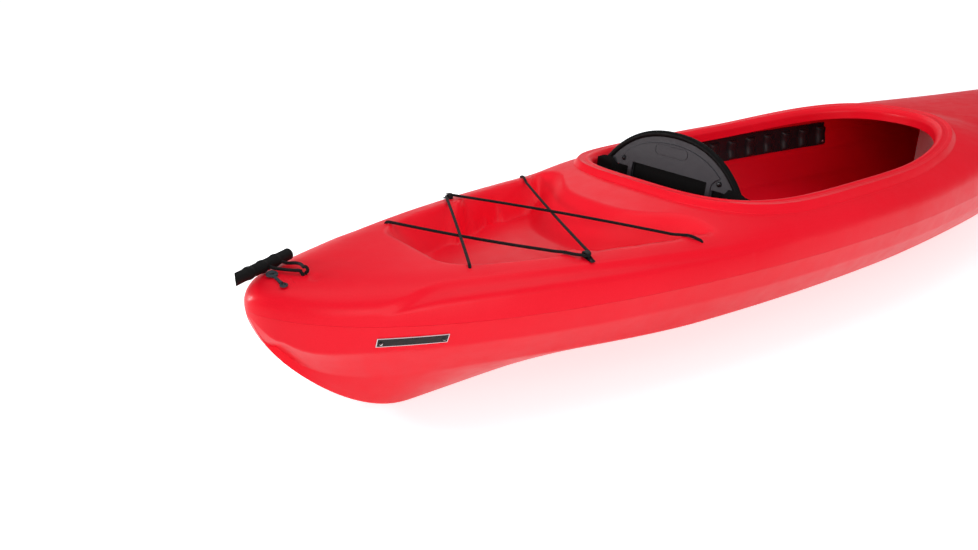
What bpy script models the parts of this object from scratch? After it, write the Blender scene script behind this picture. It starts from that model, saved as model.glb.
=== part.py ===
"""Sit-in recreational kayak: a moulded shell in two halves with seat, footrests, deck cords, handles and plug.

World frame in metres: +X to the bow, +Y to port, +Z up, origin on the ground under the middle of the length.
A station is the distance from the stern's tip, so x = station - LENGTH / 2.
The file runs from the driving dimensions to the shell's surfaces, the helpers, then one function per group.
"""

import math

import bpy
import numpy as np
from mathutils import Matrix, Vector
from mathutils.bvhtree import BVHTree

# Shell
LENGTH = 3.05
BEAM = 0.74
WIDEST_STATION = 1.45
WALL = 0.005
FIT_GAP = 0.0003
STERN_FULLNESS = 0.576
BOW_POWER = 1.6
BOW_FULLNESS = 0.62

# Seam between the hull and the deck
SEAM_HEIGHT = 0.220
SEAM_STERN_RISE = 0.038
SEAM_STERN_FADE = 0.22
SEAM_BOW_RISE = 0.055

# Deck
DECK_HEIGHT = 0.303
FOREDECK_HEIGHT = 0.345
NOSE_LENGTH = 0.07
NOSE_POWER = 2.4
END_SQUARENESS = 2.5
MID_SQUARENESS = 4.3
CREASE_START = 0.15
CREASE_PEAK = 0.30
CREASE_END = 1.15
CREASE_SHARE = 0.22
CREASE_DEPTH = 0.006
CREASE_RUN = 0.30

# Cockpit opening, its raised apron and its coaming
OPENING_AFT = 0.933
OPENING_WIDE = 1.36
OPENING_FORE = 1.98
OPENING_HALF = 0.275
OPENING_AFT_POWER = 4.0
OPENING_FORE_POWER = 2.4
APRON_RISE = 0.017
APRON_FLAT = 0.03
APRON_REACH = 0.16
COAMING_WIDTH = 0.036
COAMING_RISE = 0.013
COAMING_ROLL = 0.014
COAMING_DISH = 0.0025
FLANGE_DEPTH = 0.028
FLANGE_OUTER = -0.0015
COAMING_REACH = 0.050

# Mesh of the deck: the cockpit's patch lies between these rows
PATCH_AFT = 0.822
PATCH_FORE = 2.05
SIDE_STEPS = 10
AFT_COLUMNS = 13

# Tank well in the stern deck
WELL_AFT = 0.322
WELL_FORE = 0.787
WELL_FORE_CURVE = 0.072
WELL_FLOOR = 0.225
WELL_HALF_AFT = BEAM / 2 - 0.245
WELL_HALF_FORE = BEAM / 2 - 0.108
WELL_SIDE_RUN = 0.045
WELL_AFT_RUN = 0.085
WELL_FORE_RUN = 0.095
GUSSET_PINCH = 0.014
GUSSET_WIDTH = 0.017
POCKET_STATION = 0.65
POCKET_SIDE = 0.165
POCKET_LENGTH = 0.036
POCKET_WIDTH = 0.016
POCKET_DEPTH = 0.012

# Hull
CHINE_HEIGHT = 0.101
CHINE_STERN_RISE = 0.08
LOWER_LINE_HEIGHT = 0.170
STEM_TOP = 0.25
STERN_ROCKER = 0.29
BOW_ROCKER = 0.60
SKEG_HALF = 0.036
STEM_HALF = 0.010
KEEL_EXTRA = 0.055

# Shock cord and its fittings
CORD_RADIUS = 0.003
CORD_AFT_STATION = 0.354
CORD_AFT_SIDE = BEAM / 2 - 0.220
HOOK_STATION = 0.560
HOOK_SIDE = BEAM / 2 - 0.148
CORD_FORE_STATION = 0.809
CORD_FORE_SIDE = BEAM / 2 - 0.085
CORD_HOLE = 0.0052
CORD_BEND = 0.0075
CORD_CLEARANCE = 0.0006
KNOT_RADIUS = 0.0075
HOOK_WIDTH = 0.010
HOOK_FOOT = 0.003
HOOK_HEIGHT = 0.0128
HOOK_TAIL = 0.024

# Carry handles
HANDLE_HOLE_STATION = 0.1015
HANDLE_HOLE_SIDE = -0.018
HANDLE_HOLE = 0.0078
GRIP_LENGTH = 0.137
GRIP_RADIUS = 0.0105
GRIP_BORE = 0.0080
GRIP_RIB = 0.0014
GRIP_STATION = 0.0511
GRIP_SIDE = 0.0393
GRIP_TURN = math.radians(26.7)
STRAND_EXITS = (0.007, 0.036)
HANDLE_CORD_RADIUS = 0.003
STRAND_SPACING = 0.0068
HANDLE_KNOT_TOP = 0.010

# Drain plug
PLUG_STATION = 0.055
PLUG_SIDE = 0.010
ANCHOR_SIDE = -0.039
PLUG_HEAD_RADIUS = 0.0105
PLUG_HEAD_HEIGHT = 0.0045
PLUG_STEM_RADIUS = 0.0052
PLUG_STEM_LENGTH = 0.010
PLUG_HOLE = 0.0074
STRAP_WIDTH = 0.007
STRAP_THICKNESS = 0.0025
ANCHOR_RADIUS = 0.009
ANCHOR_HEIGHT = 0.0035

# Seat
PAN_AFT = 0.981
PAN_FORE = 1.385
PAN_HALF = 0.205
PAN_WALL = 0.004
PAN_DISH = 0.062
PAN_FRONT_RISE = 0.022
BOLSTER_HEIGHT = 0.122
FOOT_WIDTH = 0.030
FLOOR_GAP = 0.0008
PAN_CUSHION_THICKNESS = 0.026
PAN_CUSHION_HALF = 0.145
SOFT_GAP = 0.0004
BACK_PIVOT_STATION = 1.006
BACK_PIVOT_HEIGHT = 0.135
BACK_LEAN = math.radians(-8.6)
BACK_HALF = 0.2445
BACK_POWER = 2.22
BACK_FOOT = 0.012
BACK_FOOT_HALF = 0.135
BACK_SHOULDER = 0.10
BACK_TOP = 0.2725
BACK_THICKNESS = 0.005
RIM_RADIUS = 0.0075
BACK_CUSHION_THICKNESS = 0.034
BACK_PAD_HALF = 0.180
BACK_PAD_CENTRE = 0.152
BACK_PAD_REACH = 0.100
WINDOW_LOW = 0.125
WINDOW_HIGH = 0.198
BAR_INNER = 0.114
BAR_OUTER = 0.128
WINDOW_OUTER = 0.180
WEBBING_HALF = WINDOW_OUTER + 0.006
RECESS_HALF = 0.050
RECESS_HEIGHT = 0.028
RECESS_CENTRE = 0.243
RECESS_DEPTH = 0.0016
WEBBING_HEIGHT = 0.050
WEBBING_THICKNESS = 0.002
PIVOT_RADIUS = 0.004
EAR_INNER = 0.1455
EAR_OUTER = 0.1515
CHEEK_INNER = 0.1380
CHEEK_OUTER = 0.1440
PLATE_REAR = -0.016
BOLT_SIDE = 0.146
BOLT_HEIGHT = 0.201

# Foot rails
RAIL_AFT = 1.49
RAIL_FORE = 2.11
RAIL_LOW = 0.187
RAIL_HIGH = 0.262
RIB_TOP = 0.246
RAIL_THICKNESS = 0.006
RIB_DEPTH = 0.013
RIB_PITCH = 0.08
RIB_WIDTH = 0.028
RAIL_SCREW_INSET = 0.013
RIB_SCREW_INSET = 0.010

# Foam blocks that brace the deck against the keel
STERN_BLOCK = (0.45, 0.66)
BOW_BLOCK = (2.22, 2.43)
STERN_BLOCK_HALF = 0.028
BOW_BLOCK_HALF = 0.035

# Blank metal plate on the starboard flank
PLATE_STATIONS = (0.168, 0.282)
PLATE_THICKNESS = 0.0009

SCREW_HEAD = 0.0042
SCREW_SHANK = 0.0019
SCREW_HEIGHT = 0.0024
DRILL_CLEARANCE = 0.0003

# Columns of the hull's section, from the seam (0) to the middle of the keel (1), with its corners' shares
SEAM_SHARE = 0.0
LINE_SHARE = 0.25
CHINE_SHARE = 0.50
KEEL_SHARE = 0.80


def smoothstep(low, high, value):
    t = np.clip((value - low) / (high - low), 0.0, 1.0)
    return t * t * (3.0 - 2.0 * t)


def soft_min(a, b, width):
    h = np.clip(0.5 + 0.5 * (b - a) / width, 0.0, 1.0)
    return b + (a - b) * h - width * h * (1.0 - h)


def soft_max(a, b, width):
    return -soft_min(-a, -b, width)


def soft_ramp(value, width):
    """0 under 0 and 1 over 1, straight between, with both corners rounded over this width."""

    def corner(t):
        return np.where(t < -width, 0.0, np.where(t > width, t, (t + width) ** 2 / (4.0 * width)))

    return corner(value) - corner(value - 1.0)


def half_beam(station):
    """Half the width of the shell at its seam."""
    aft = np.clip(1.0 - station / WIDEST_STATION, 0.0, 1.0)
    fore = np.clip((station - WIDEST_STATION) / (LENGTH - WIDEST_STATION), 0.0, 1.0)
    stern = np.maximum(1.0 - aft**2, 0.0) ** STERN_FULLNESS
    bow = np.maximum(1.0 - fore**BOW_POWER, 0.0) ** BOW_FULLNESS
    return BEAM / 2 * np.where(station < WIDEST_STATION, stern, bow)


def seam_height(station):
    fore = np.clip((station - WIDEST_STATION) / (LENGTH - WIDEST_STATION), 0.0, 1.0)
    return SEAM_HEIGHT + SEAM_STERN_RISE * np.exp(-station / SEAM_STERN_FADE) + SEAM_BOW_RISE * fore**2.5


def crown_rise(station):
    """Height of the deck's middle over the seam, falling to nothing round each nose."""
    crown = DECK_HEIGHT + (FOREDECK_HEIGHT - DECK_HEIGHT) * smoothstep(1.5, 2.2, station)
    to_tip = np.minimum(station, LENGTH - station)
    nose = 1.0 - np.clip(1.0 - to_tip / NOSE_LENGTH, 0.0, 1.0) ** NOSE_POWER
    return (crown - seam_height(station)) * nose ** (1.0 / NOSE_POWER)


def squareness(station):
    """Power of the deck's section: 2 is an ellipse, more is squarer."""
    gain = MID_SQUARENESS - END_SQUARENESS
    return END_SQUARENESS + gain * smoothstep(0.0, 0.5, station) - 0.9 * gain * smoothstep(1.7, 2.6, station)


def crease_share(station):
    """Where the styling crease runs on the shoulder, as a share of the half beam; 1 where there is none."""
    rise = smoothstep(CREASE_START, CREASE_PEAK - 0.01, station)
    fall = np.clip(1.0 - (station - CREASE_PEAK) / (CREASE_END - CREASE_PEAK), 0.0, 1.0) ** 1.3
    return 1.0 - CREASE_SHARE * np.where(station < CREASE_PEAK, rise, fall)


def opening_distance(station, y):
    """Distance outside the cockpit opening's edge, to first order; negative inside."""
    aft = station < OPENING_WIDE
    reach = np.where(aft, OPENING_WIDE - OPENING_AFT, OPENING_FORE - OPENING_WIDE)
    power = np.where(aft, OPENING_AFT_POWER, OPENING_FORE_POWER)
    along = np.abs(station - OPENING_WIDE) / reach
    across = np.abs(y) / OPENING_HALF
    size = np.maximum(along**power + across**power, 1e-9) ** (1.0 / power)
    slope_along = size ** (1.0 - power) * along ** (power - 1.0) / reach
    slope_across = size ** (1.0 - power) * across ** (power - 1.0) / OPENING_HALF
    return (size - 1.0) / np.maximum(np.hypot(slope_along, slope_across), 1e-6)


def well_half(station):
    """Half the width of the tank well at its lip, pinched where the cords pass over its wall."""
    share = np.clip((station - WELL_AFT) / (0.81 - WELL_AFT), 0.0, 1.3) ** 0.8
    half = WELL_HALF_AFT + (WELL_HALF_FORE - WELL_HALF_AFT) * share
    for centre in (HOOK_STATION, CORD_FORE_STATION):
        half = half - GUSSET_PINCH * np.exp(-(((station - centre) / GUSSET_WIDTH) ** 2))
    return half


def front_shift(y):
    """How far the well's front lip bends to the bow away from the middle; it levels off at the corners."""
    return WELL_FORE_CURVE * soft_min(np.abs(y) / 0.18, 1.03, 0.25) ** 3


def well_front(y):
    return WELL_FORE + front_shift(y)


def well_share(station, y):
    """0 on the deck, 1 on the well's floor: a soft minimum of the distances to its four walls."""
    side = (well_half(station) - np.abs(y)) / WELL_SIDE_RUN
    aft = (station - WELL_AFT) / WELL_AFT_RUN
    fore = (well_front(y) - station) / WELL_FORE_RUN
    return soft_ramp(soft_min(soft_min(side, aft, 0.75), fore, 0.35), 0.09)


def pocket(station, y):
    """Oval finger pocket at the foot of each side wall of the well."""
    along = (station - POCKET_STATION) / POCKET_LENGTH
    across = (np.abs(y) - POCKET_SIDE) / POCKET_WIDTH
    return POCKET_DEPTH * np.exp(-((along**2 + across**2) ** 2))


def coaming(distance):
    """Height of the coaming over the apron: an inner roll, a shallow dish and an outer edge."""
    inner = soft_ramp((distance + 0.004) / COAMING_ROLL, 0.3)
    outer = 1.0 - soft_ramp((distance - COAMING_WIDTH) / 0.010, 0.3)
    dish = COAMING_DISH * np.exp(-(((distance - 0.58 * COAMING_WIDTH) / 0.006) ** 2))
    return COAMING_RISE * np.minimum(inner, outer) - dish


def deck_height(station, y):
    """Height of the deck's upper surface."""
    beam = np.maximum(half_beam(station), 1e-6)
    share = np.clip(np.abs(y) / beam, 0.0, 1.0)
    power = squareness(station)
    section = np.maximum(1.0 - share**power, 0.0) ** (1.0 / power)
    edge = crease_share(station)
    past = np.clip((share - edge) / np.maximum(1.0 - edge, 1e-4), 0.0, 1.0)
    cut = CREASE_DEPTH * smoothstep(0.0, 0.05, 1.0 - edge) * soft_ramp(past / CREASE_RUN, 0.5)
    cut = cut * (1.0 - smoothstep(0.4, 1.0, past))
    distance = opening_distance(station, y)
    apron = APRON_RISE * (1.0 - smoothstep(APRON_FLAT, APRON_REACH, distance))
    height = seam_height(station) + crown_rise(station) * section - cut
    height = height + (apron + coaming(distance)) * (1.0 - share**24)
    sunk = well_share(station, y)
    return height + (WELL_FLOOR - height) * sunk - pocket(station, y) * sunk


def rocker(station):
    """Height of the keel over the ground: nothing along the middle, rising into a stem at each end."""
    aft = np.clip(1.0 - station / STERN_ROCKER, 0.0, 1.0)
    fore = np.clip(1.0 - (LENGTH - station) / BOW_ROCKER, 0.0, 1.0)
    end = np.maximum(aft, fore)
    return STEM_TOP * (0.85 * end**2 + 0.15 * end**17)


def keel_half(station):
    """Half the width of the flat along the keel; at the stern it is the foot of the skeg."""
    skeg = smoothstep(0.05, 0.27, station) * (1.0 - smoothstep(2.6, 3.0, station))
    middle = KEEL_EXTRA * smoothstep(0.65, 1.2, station) * (1.0 - smoothstep(1.9, 2.7, station))
    half = STEM_HALF + (SKEG_HALF - STEM_HALF) * skeg + middle
    return np.minimum(half, 0.5 * half_beam(station))


def hull_corners(station):
    """(y, z) of the section's corners: seam, lower line, chine, edge of the keel's flat, middle."""
    beam = half_beam(station)
    top = seam_height(station)
    keel = rocker(station)
    flat = keel_half(station)
    toward_bow = smoothstep(2.0, 3.0, station)
    share = 0.65 * (1.0 - np.exp(-np.maximum(station - 0.05, 0.0) / 0.10))
    share = share + 0.17 * smoothstep(0.25, 0.85, station) - 0.30 * toward_bow
    chine_y = np.maximum(beam * share, 1.02 * flat)
    chine_z = CHINE_HEIGHT + CHINE_STERN_RISE * np.exp(-np.maximum(station - 0.043, 0.0) / 0.045)
    chine_z = soft_max(chine_z + 0.05 * toward_bow, keel + 0.05 * (top - keel), 0.02)
    chine_z = np.minimum(chine_z, keel + 0.60 * (top - keel))
    line_y = beam * (0.96 - 0.2 * np.exp(-station / 0.35) - 0.15 * smoothstep(2.3, 3.0, station))
    line_y = np.maximum(line_y, chine_y)
    line_z = LOWER_LINE_HEIGHT + 0.018 * np.exp(-station / 0.25) + 0.05 * toward_bow
    line_z = soft_max(line_z, chine_z + 0.35 * (top - chine_z), 0.02)
    line_z = np.minimum(line_z, keel + 0.80 * (top - keel))
    zero = np.zeros_like(beam)
    return np.stack([beam, line_y, chine_y, flat, zero]), np.stack([top, line_z, chine_z, keel, keel])


def hull_section(station, share):
    """(y, z) on the hull's outer surface: straight runs between the corners, each corner eased over a span."""
    corner_y, corner_z = hull_corners(station)
    knots = np.array([SEAM_SHARE, LINE_SHARE, CHINE_SHARE, KEEL_SHARE, 1.0])
    ease = 0.03
    y = np.zeros_like(station)
    z = np.zeros_like(station)
    shifts = np.linspace(-ease, ease, 9)
    for shift in shifts:
        at = np.clip(share + shift * np.clip(np.minimum(share, 1.0 - share) / ease, 0.0, 1.0), 0.0, 1.0)
        run = np.clip(np.searchsorted(knots, at, side="right") - 1, 0, 3)
        part = (at - knots[run]) / (knots[run + 1] - knots[run])
        for total, corner in ((y, corner_y), (z, corner_z)):
            low = np.take_along_axis(corner, run[None], 0)[0]
            high = np.take_along_axis(corner, run[None] + 1, 0)[0]
            total += (low + (high - low) * part) / len(shifts)
    return y, z


def world(station, y, z):
    station, y, z = np.broadcast_arrays(np.asarray(station, float), y, z)
    return np.stack([station - LENGTH / 2, y, z], -1)


def clear_scene():
    for old in list(bpy.data.objects):
        bpy.data.objects.remove(old, do_unlink=True)


def material(name, colour, roughness, metallic=0.0):
    """A material with its own Principled shader."""
    made = bpy.data.materials.new(name)
    made.use_nodes = True
    shader = made.node_tree.nodes["Principled BSDF"]
    shader.inputs["Base Color"].default_value = (*colour, 1.0)
    shader.inputs["Roughness"].default_value = roughness
    shader.inputs["Metallic"].default_value = metallic
    made.diffuse_color = (*colour, 1.0)
    return made


def link(name, data, look, origin=(0.0, 0.0, 0.0), parent=None):
    made = bpy.data.objects.new(name, data)
    bpy.context.scene.collection.objects.link(made)
    made.location = origin
    if parent is not None:
        made.parent = parent
        made.location = Vector(origin) - Vector(parent.location)
    if look is not None:
        made.data.materials.append(look)
    return made


def mesh_object(name, points, faces, look, origin=(0.0, 0.0, 0.0), parent=None):
    """A mesh object from world points, kept relative to its origin."""
    data = bpy.data.meshes.new(name)
    local = np.asarray(points, float) - np.asarray(origin, float)
    data.from_pydata([tuple(point) for point in local], [], [tuple(int(i) for i in face) for face in faces])
    data.update()
    return link(name, data, look, origin, parent)


def sewn(patches):
    """Joins grids of points, each (rows, columns, 3): the points, the faces and each point's source."""
    points = np.concatenate([patch.reshape(-1, 3) for patch in patches])
    quads = []
    start = 0
    for patch in patches:
        rows, columns = patch.shape[:2]
        index = start + np.arange(rows * columns).reshape(rows, columns)
        corners = (index[:-1, :-1], index[1:, :-1], index[1:, 1:], index[:-1, 1:])
        quads.append(np.stack(corners, -1).reshape(-1, 4))
        start += rows * columns
    keys = np.round(points * 1e6).astype(np.int64)
    _, first, inverse = np.unique(keys, axis=0, return_index=True, return_inverse=True)
    points = points[first]
    faces = []
    for quad in inverse.reshape(-1)[np.concatenate(quads)]:
        face = [int(v) for i, v in enumerate(quad) if v != quad[i - 1]]
        if len(face) == 3:
            faces.append(face)
        elif len(face) == 4:
            a, b, c, d = face
            first_diagonal = np.linalg.norm(points[a] - points[c])
            if first_diagonal < np.linalg.norm(points[b] - points[d]) + 1e-7:
                faces += [[a, b, c], [a, c, d]]
            else:
                faces += [[a, b, d], [b, c, d]]
    return points, faces, first


def rim_edges(faces):
    """Edges that only one face has, in that face's direction."""
    seen = {}
    for face in faces:
        for a, b in zip(face, face[1:] + face[:1]):
            key = (min(a, b), max(a, b))
            seen.setdefault(key, []).append((a, b))
    return [found[0] for found in seen.values() if len(found) == 1]


def sandwich(upper, lower):
    """A closed solid between two surfaces, given as grids that match one to one, joined round their edges."""
    points, faces, first = sewn(upper)
    under = np.concatenate([patch.reshape(-1, 3) for patch in lower])[first]
    count = len(points)
    closed = list(faces)
    closed += [[index + count for index in reversed(face)] for face in faces]
    closed += [[b, a, a + count, b + count] for a, b in rim_edges(faces)]
    return np.concatenate([points, under]), closed


def lathe(profile, sides):
    """Turns a closed (radius, height) profile round Z; points on the axis are shared."""
    points = []
    rings = []
    for radius, height in profile:
        if radius < 1e-9:
            rings.append([len(points)] * sides)
            points.append((0.0, 0.0, height))
            continue
        rings.append(list(range(len(points), len(points) + sides)))
        for side in range(sides):
            turn = 2.0 * math.pi * side / sides
            points.append((radius * math.cos(turn), radius * math.sin(turn), height))
    faces = []
    closed_loop = profile[0][0] > 1e-9
    after_rings = rings[1:] + rings[:1] if closed_loop else rings[1:]
    for low, high in zip(rings, after_rings):
        for side in range(sides):
            after = (side + 1) % sides
            quad = [low[side], low[after], high[after], high[side]]
            face = [v for i, v in enumerate(quad) if v != quad[i - 1]]
            if len(face) > 2:
                faces.append(face)
    return np.array(points), faces


def frame_at(point, normal, along):
    """A matrix at a point: Z on the normal, X as near to `along` as it can be."""
    up = Vector(normal).normalized()
    side = up.cross(Vector(along)).normalized()
    forward = side.cross(up)
    return Matrix.Translation(Vector(point)) @ Matrix((forward, side, up)).transposed().to_4x4()


def moved(points, matrix):
    turn = np.array(matrix.to_3x3())
    return np.asarray(points, float) @ turn.T + np.array(matrix.translation)


def box_mesh(low, high):
    """Points and outward faces of a box."""
    corners = [(x, y, z) for x in (low[0], high[0]) for y in (low[1], high[1]) for z in (low[2], high[2])]
    faces = [[0, 1, 3, 2], [4, 6, 7, 5], [0, 4, 5, 1], [2, 3, 7, 6], [0, 2, 6, 4], [1, 5, 7, 3]]
    return np.array(corners, float), faces


def prism(outline, low, high):
    """A straight prism on a counter-clockwise (x, y) outline, from z low to z high."""
    count = len(outline)
    points = [(x, y, low) for x, y in outline] + [(x, y, high) for x, y in outline]
    faces = [list(reversed(range(count))), list(range(count, 2 * count))]
    faces += [[i, (i + 1) % count, count + (i + 1) % count, count + i] for i in range(count)]
    return np.array(points, float), faces


def joined(parts):
    """Several (points, faces) as one list, for a cutter or a union."""
    points = []
    faces = []
    start = 0
    for some_points, some_faces in parts:
        points.append(np.asarray(some_points, float))
        faces += [[index + start for index in face] for face in some_faces]
        start += len(some_points)
    return np.concatenate(points), faces


def boolean(target, name, parts, operation):
    """Applies one exact Boolean with a hidden helper that holds these (points, faces)."""
    points, faces = joined(parts)
    helper = mesh_object(name, points, faces, None)
    helper.hide_render = True
    helper.display_type = "WIRE"
    modifier = target.modifiers.new(name, "BOOLEAN")
    modifier.operation = operation
    modifier.solver = "EXACT"
    modifier.object = helper
    return helper


def cord_object(name, route, radius, look, widths=None, resolution=2, parent=None, origin=(0.0, 0.0, 0.0)):
    """A round cord along a route of world points, closed at both ends."""
    data = bpy.data.curves.new(name, "CURVE")
    data.dimensions = "3D"
    data.bevel_depth = radius
    data.bevel_resolution = resolution
    data.use_fill_caps = True
    spline = data.splines.new("POLY")
    spline.points.add(len(route) - 1)
    for index, point in enumerate(route):
        local = np.asarray(point) - np.asarray(origin)
        spline.points[index].co = (*local, 1.0)
        spline.points[index].radius = 1.0 if widths is None else widths[index]
    return link(name, data, look, origin, parent)


class Surface:
    """Looks up points and normals on a mesh that is already built."""

    def __init__(self, points, faces):
        self.tree = BVHTree.FromPolygons([tuple(p) for p in points], [list(map(int, f)) for f in faces])

    def below(self, x, y, start=1.0):
        """The first surface met going down."""
        place, normal, _, _ = self.tree.ray_cast(Vector((x, y, start)), Vector((0.0, 0.0, -1.0)))
        return np.array(place), np.array(normal)

    def roof(self, frame, radius, depth):
        """How high the surface lies over a frame's plane at its lowest on a disc, cast from under it."""
        up = frame.to_3x3() @ Vector((0.0, 0.0, 1.0))
        lowest = 9.0
        for part in (0.0, 0.6, 0.8, 1.0):
            for turn in np.linspace(0.0, 2.0 * math.pi, 13):
                spot = Vector((part * radius * math.cos(turn), part * radius * math.sin(turn), -depth))
                _, _, _, distance = self.tree.ray_cast(frame @ spot, up)
                lowest = min(lowest, distance - depth)
        return lowest

    def outward(self, x, z, side):
        """The first surface met going sideways from the middle."""
        place, normal, _, _ = self.tree.ray_cast(Vector((x, 0.0, z)), Vector((0.0, side, 0.0)))
        return np.array(place), np.array(normal)

    def inward(self, x, z, side):
        """The first surface met coming from outside."""
        place, normal, _, _ = self.tree.ray_cast(Vector((x, 2.0 * side, z)), Vector((0.0, -side, 0.0)))
        return np.array(place), np.array(normal)

    def seat(self, matrix, footprint, gap):
        """Lifts a frame along its own Z until every footprint point clears the surface by the gap."""
        up = np.array(matrix.to_3x3() @ Vector((0.0, 0.0, 1.0)))
        lift = -1.0
        for x, y in footprint:
            spot = np.array(matrix @ Vector((x, y, 0.05)))
            place, _, _, _ = self.tree.ray_cast(Vector(spot), Vector(-up))
            lift = max(lift, 0.05 - float((spot - np.array(place)) @ up))
        return Matrix.Translation(Vector(up * (lift + gap))) @ matrix


def hull_stations():
    nose = np.array([0.0, 0.003, 0.010, 0.022, 0.040, 0.065])
    aft = np.array([0.10, 0.14, 0.19, 0.24, STERN_ROCKER, 0.36, 0.44, 0.54, 0.66, 0.80])
    middle = np.linspace(0.96, 2.28, 7)
    start = LENGTH - BOW_ROCKER
    bow = np.linspace(start, LENGTH - 0.10, 6)
    return np.concatenate([nose, aft, middle, bow, LENGTH - nose[::-1]])


def tip_shift(station):
    """How far the inner surface moves from each tip, so that the wall keeps its thickness round the nose."""
    stern = 1.0 - smoothstep(0.0, 0.05, station)
    bow = 1.0 - smoothstep(0.0, 0.05, LENGTH - station)
    return WALL * (stern - bow)


def inner_scale(station):
    """Factor on y that draws a section in by the wall's thickness at the seam."""
    return 1.0 - WALL / np.maximum(half_beam(station), 2.5 * WALL)


def hull_solid():
    """The hull as a shell: each inner section is its outer one, scaled towards the seam's middle."""
    shares = np.array([0.0, 0.125, LINE_SHARE, 0.36, CHINE_SHARE, 0.60, KEEL_SHARE, 0.84, 1.0])
    station, share = np.meshgrid(hull_stations(), shares, indexing="ij")
    y, z = hull_section(station, share)
    top = seam_height(station)
    depth = np.maximum(top - rocker(station), 2.5 * WALL)
    inner_y = y * inner_scale(station)
    inner_z = top - (top - z) * (1.0 - WALL / depth)
    outer = []
    inner = []
    for side, step in ((1.0, 1), (-1.0, -1)):
        outer.append(world(station, side * y, z - FIT_GAP / 2)[:, ::step])
        inner.append(world(station + tip_shift(station), side * inner_y, inner_z - FIT_GAP / 2)[:, ::step])
    for patch in outer + inner:
        patch[..., 2] = np.where(np.abs(patch[..., 2]) < FIT_GAP, 0.0, patch[..., 2])
    return sandwich(outer, inner)


def seam_point(station):
    """(half width, height) of the seam on the hull's own straight edges, where both shells meet."""
    stations = hull_stations()
    half = np.interp(station, stations, half_beam(stations))
    return half, np.interp(station, stations, seam_height(stations)) + FIT_GAP / 2


def shoulder_columns(edge):
    """Shares of the half beam from the crease to the seam."""
    return [edge + (1.0 - edge) * part for part in (0.0, 0.40, 0.70, 0.90, 0.975)]


def aft_columns(station):
    """y of the stern deck's columns at each station: the well's floor, wall and lip, then the shoulder."""
    half, _ = seam_point(station)
    wall = np.minimum(well_half(station), 0.62 * half)
    run = np.minimum(WELL_SIDE_RUN, 0.45 * wall)
    edge = np.minimum(crease_share(station), 0.88)
    crease = edge * half
    columns = [0.0 * half, 0.5 * (wall - run), wall - run, wall - 0.5 * run, wall]
    columns += [wall + 0.12 * (crease - wall), wall + 0.55 * (crease - wall)]
    columns += [share * half for share in shoulder_columns(edge)] + [half]
    return np.stack([column[:, index] for index, column in enumerate(columns)], -1)


def aft_grid(rows):
    """Stations and y of the stern deck's grid: its rows bend with the well's front lip as they near it."""
    bend = smoothstep(0.50, WELL_FORE - WELL_FORE_RUN, rows)[:, None]
    station = np.repeat(rows[:, None], AFT_COLUMNS, 1)
    y = aft_columns(station)
    for _ in range(12):
        station = rows[:, None] + bend * front_shift(y)
        y = aft_columns(station)
    station = rows[:, None] + bend * front_shift(y)
    return np.concatenate([station[:, ::-1], station[:, 1:]], axis=1), both_sides(y)


def fore_columns(station):
    half, _ = seam_point(station)
    return np.stack([share * half for share in (0.0, 0.3, 0.6, 0.80, 0.92, 0.982, 1.0)], -1)


def both_sides(half_rows):
    """Rows of y from the starboard seam to the port one, from rows that go from the middle out."""
    return np.concatenate([-half_rows[:, ::-1], half_rows[:, 1:]], axis=1)


def deck_drop(station, y):
    """How far the deck's underside lies below its upper surface: more on slopes, nothing on the seam."""
    step = 1e-4
    slope_along = (deck_height(station + step, y) - deck_height(station - step, y)) / (2.0 * step)
    slope_across = (deck_height(station, y + step) - deck_height(station, y - step)) / (2.0 * step)
    slope = np.minimum(np.hypot(slope_along, slope_across), 1.5)
    share = np.clip(np.abs(y) / np.maximum(half_beam(station), 1e-6), 0.0, 1.0)
    drop = WALL * np.sqrt(1.0 + slope**2) * (1.0 - share**24)
    return np.minimum(drop, 0.6 * crown_rise(station))


def under_deck(station, y, z):
    """The underside's points for points of the upper surface."""
    beam = np.maximum(half_beam(station), 1e-6)
    share = np.clip(np.abs(y) / beam, 0.0, 1.0)
    power = 2.0 + 10.0 * smoothstep(0.02, 0.15, beam)
    inward = np.minimum(WALL, 0.4 * beam) * share**power
    return world(station + tip_shift(station), y - np.sign(y) * inward, z - deck_drop(station, y))


def deck_patch(station, y):
    """A patch of deck on a grid of stations and y, its outer columns on the seam, and its underside."""
    z = deck_height(station, y)
    upper = world(station, y, z)
    lower = under_deck(station, y, z)
    for patch in (upper, lower):
        for column in (0, -1):
            patch[:, column, 2] = seam_point(station[:, column])[1]
        patch[station[:, 0] == 0.0, :, 2] = seam_point(0.0)[1]
        patch[station[:, 0] == LENGTH, :, 2] = seam_point(LENGTH)[1]
    return upper, lower


def deck_stations_aft():
    nose = np.array([0.0, 0.003, 0.010, 0.022, 0.040, 0.065])
    plain = np.linspace(0.10, WELL_AFT - 0.01, 4)
    entry = np.linspace(WELL_AFT + 0.02, WELL_AFT + WELL_AFT_RUN, 3)
    hook = HOOK_STATION + np.array([-0.06, -0.02, 0.0, 0.02])
    pockets = np.array([POCKET_STATION - 0.03, POCKET_STATION + 0.01])
    pinch = CORD_FORE_STATION - float(front_shift(CORD_FORE_SIDE))
    exit_rows = [pinch - GUSSET_WIDTH, pinch, pinch + GUSSET_WIDTH]
    exit_rows = [WELL_FORE - WELL_FORE_RUN] + exit_rows + [WELL_FORE, PATCH_AFT]
    return np.concatenate([nose, plain, entry, hook, pockets, exit_rows])


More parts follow.
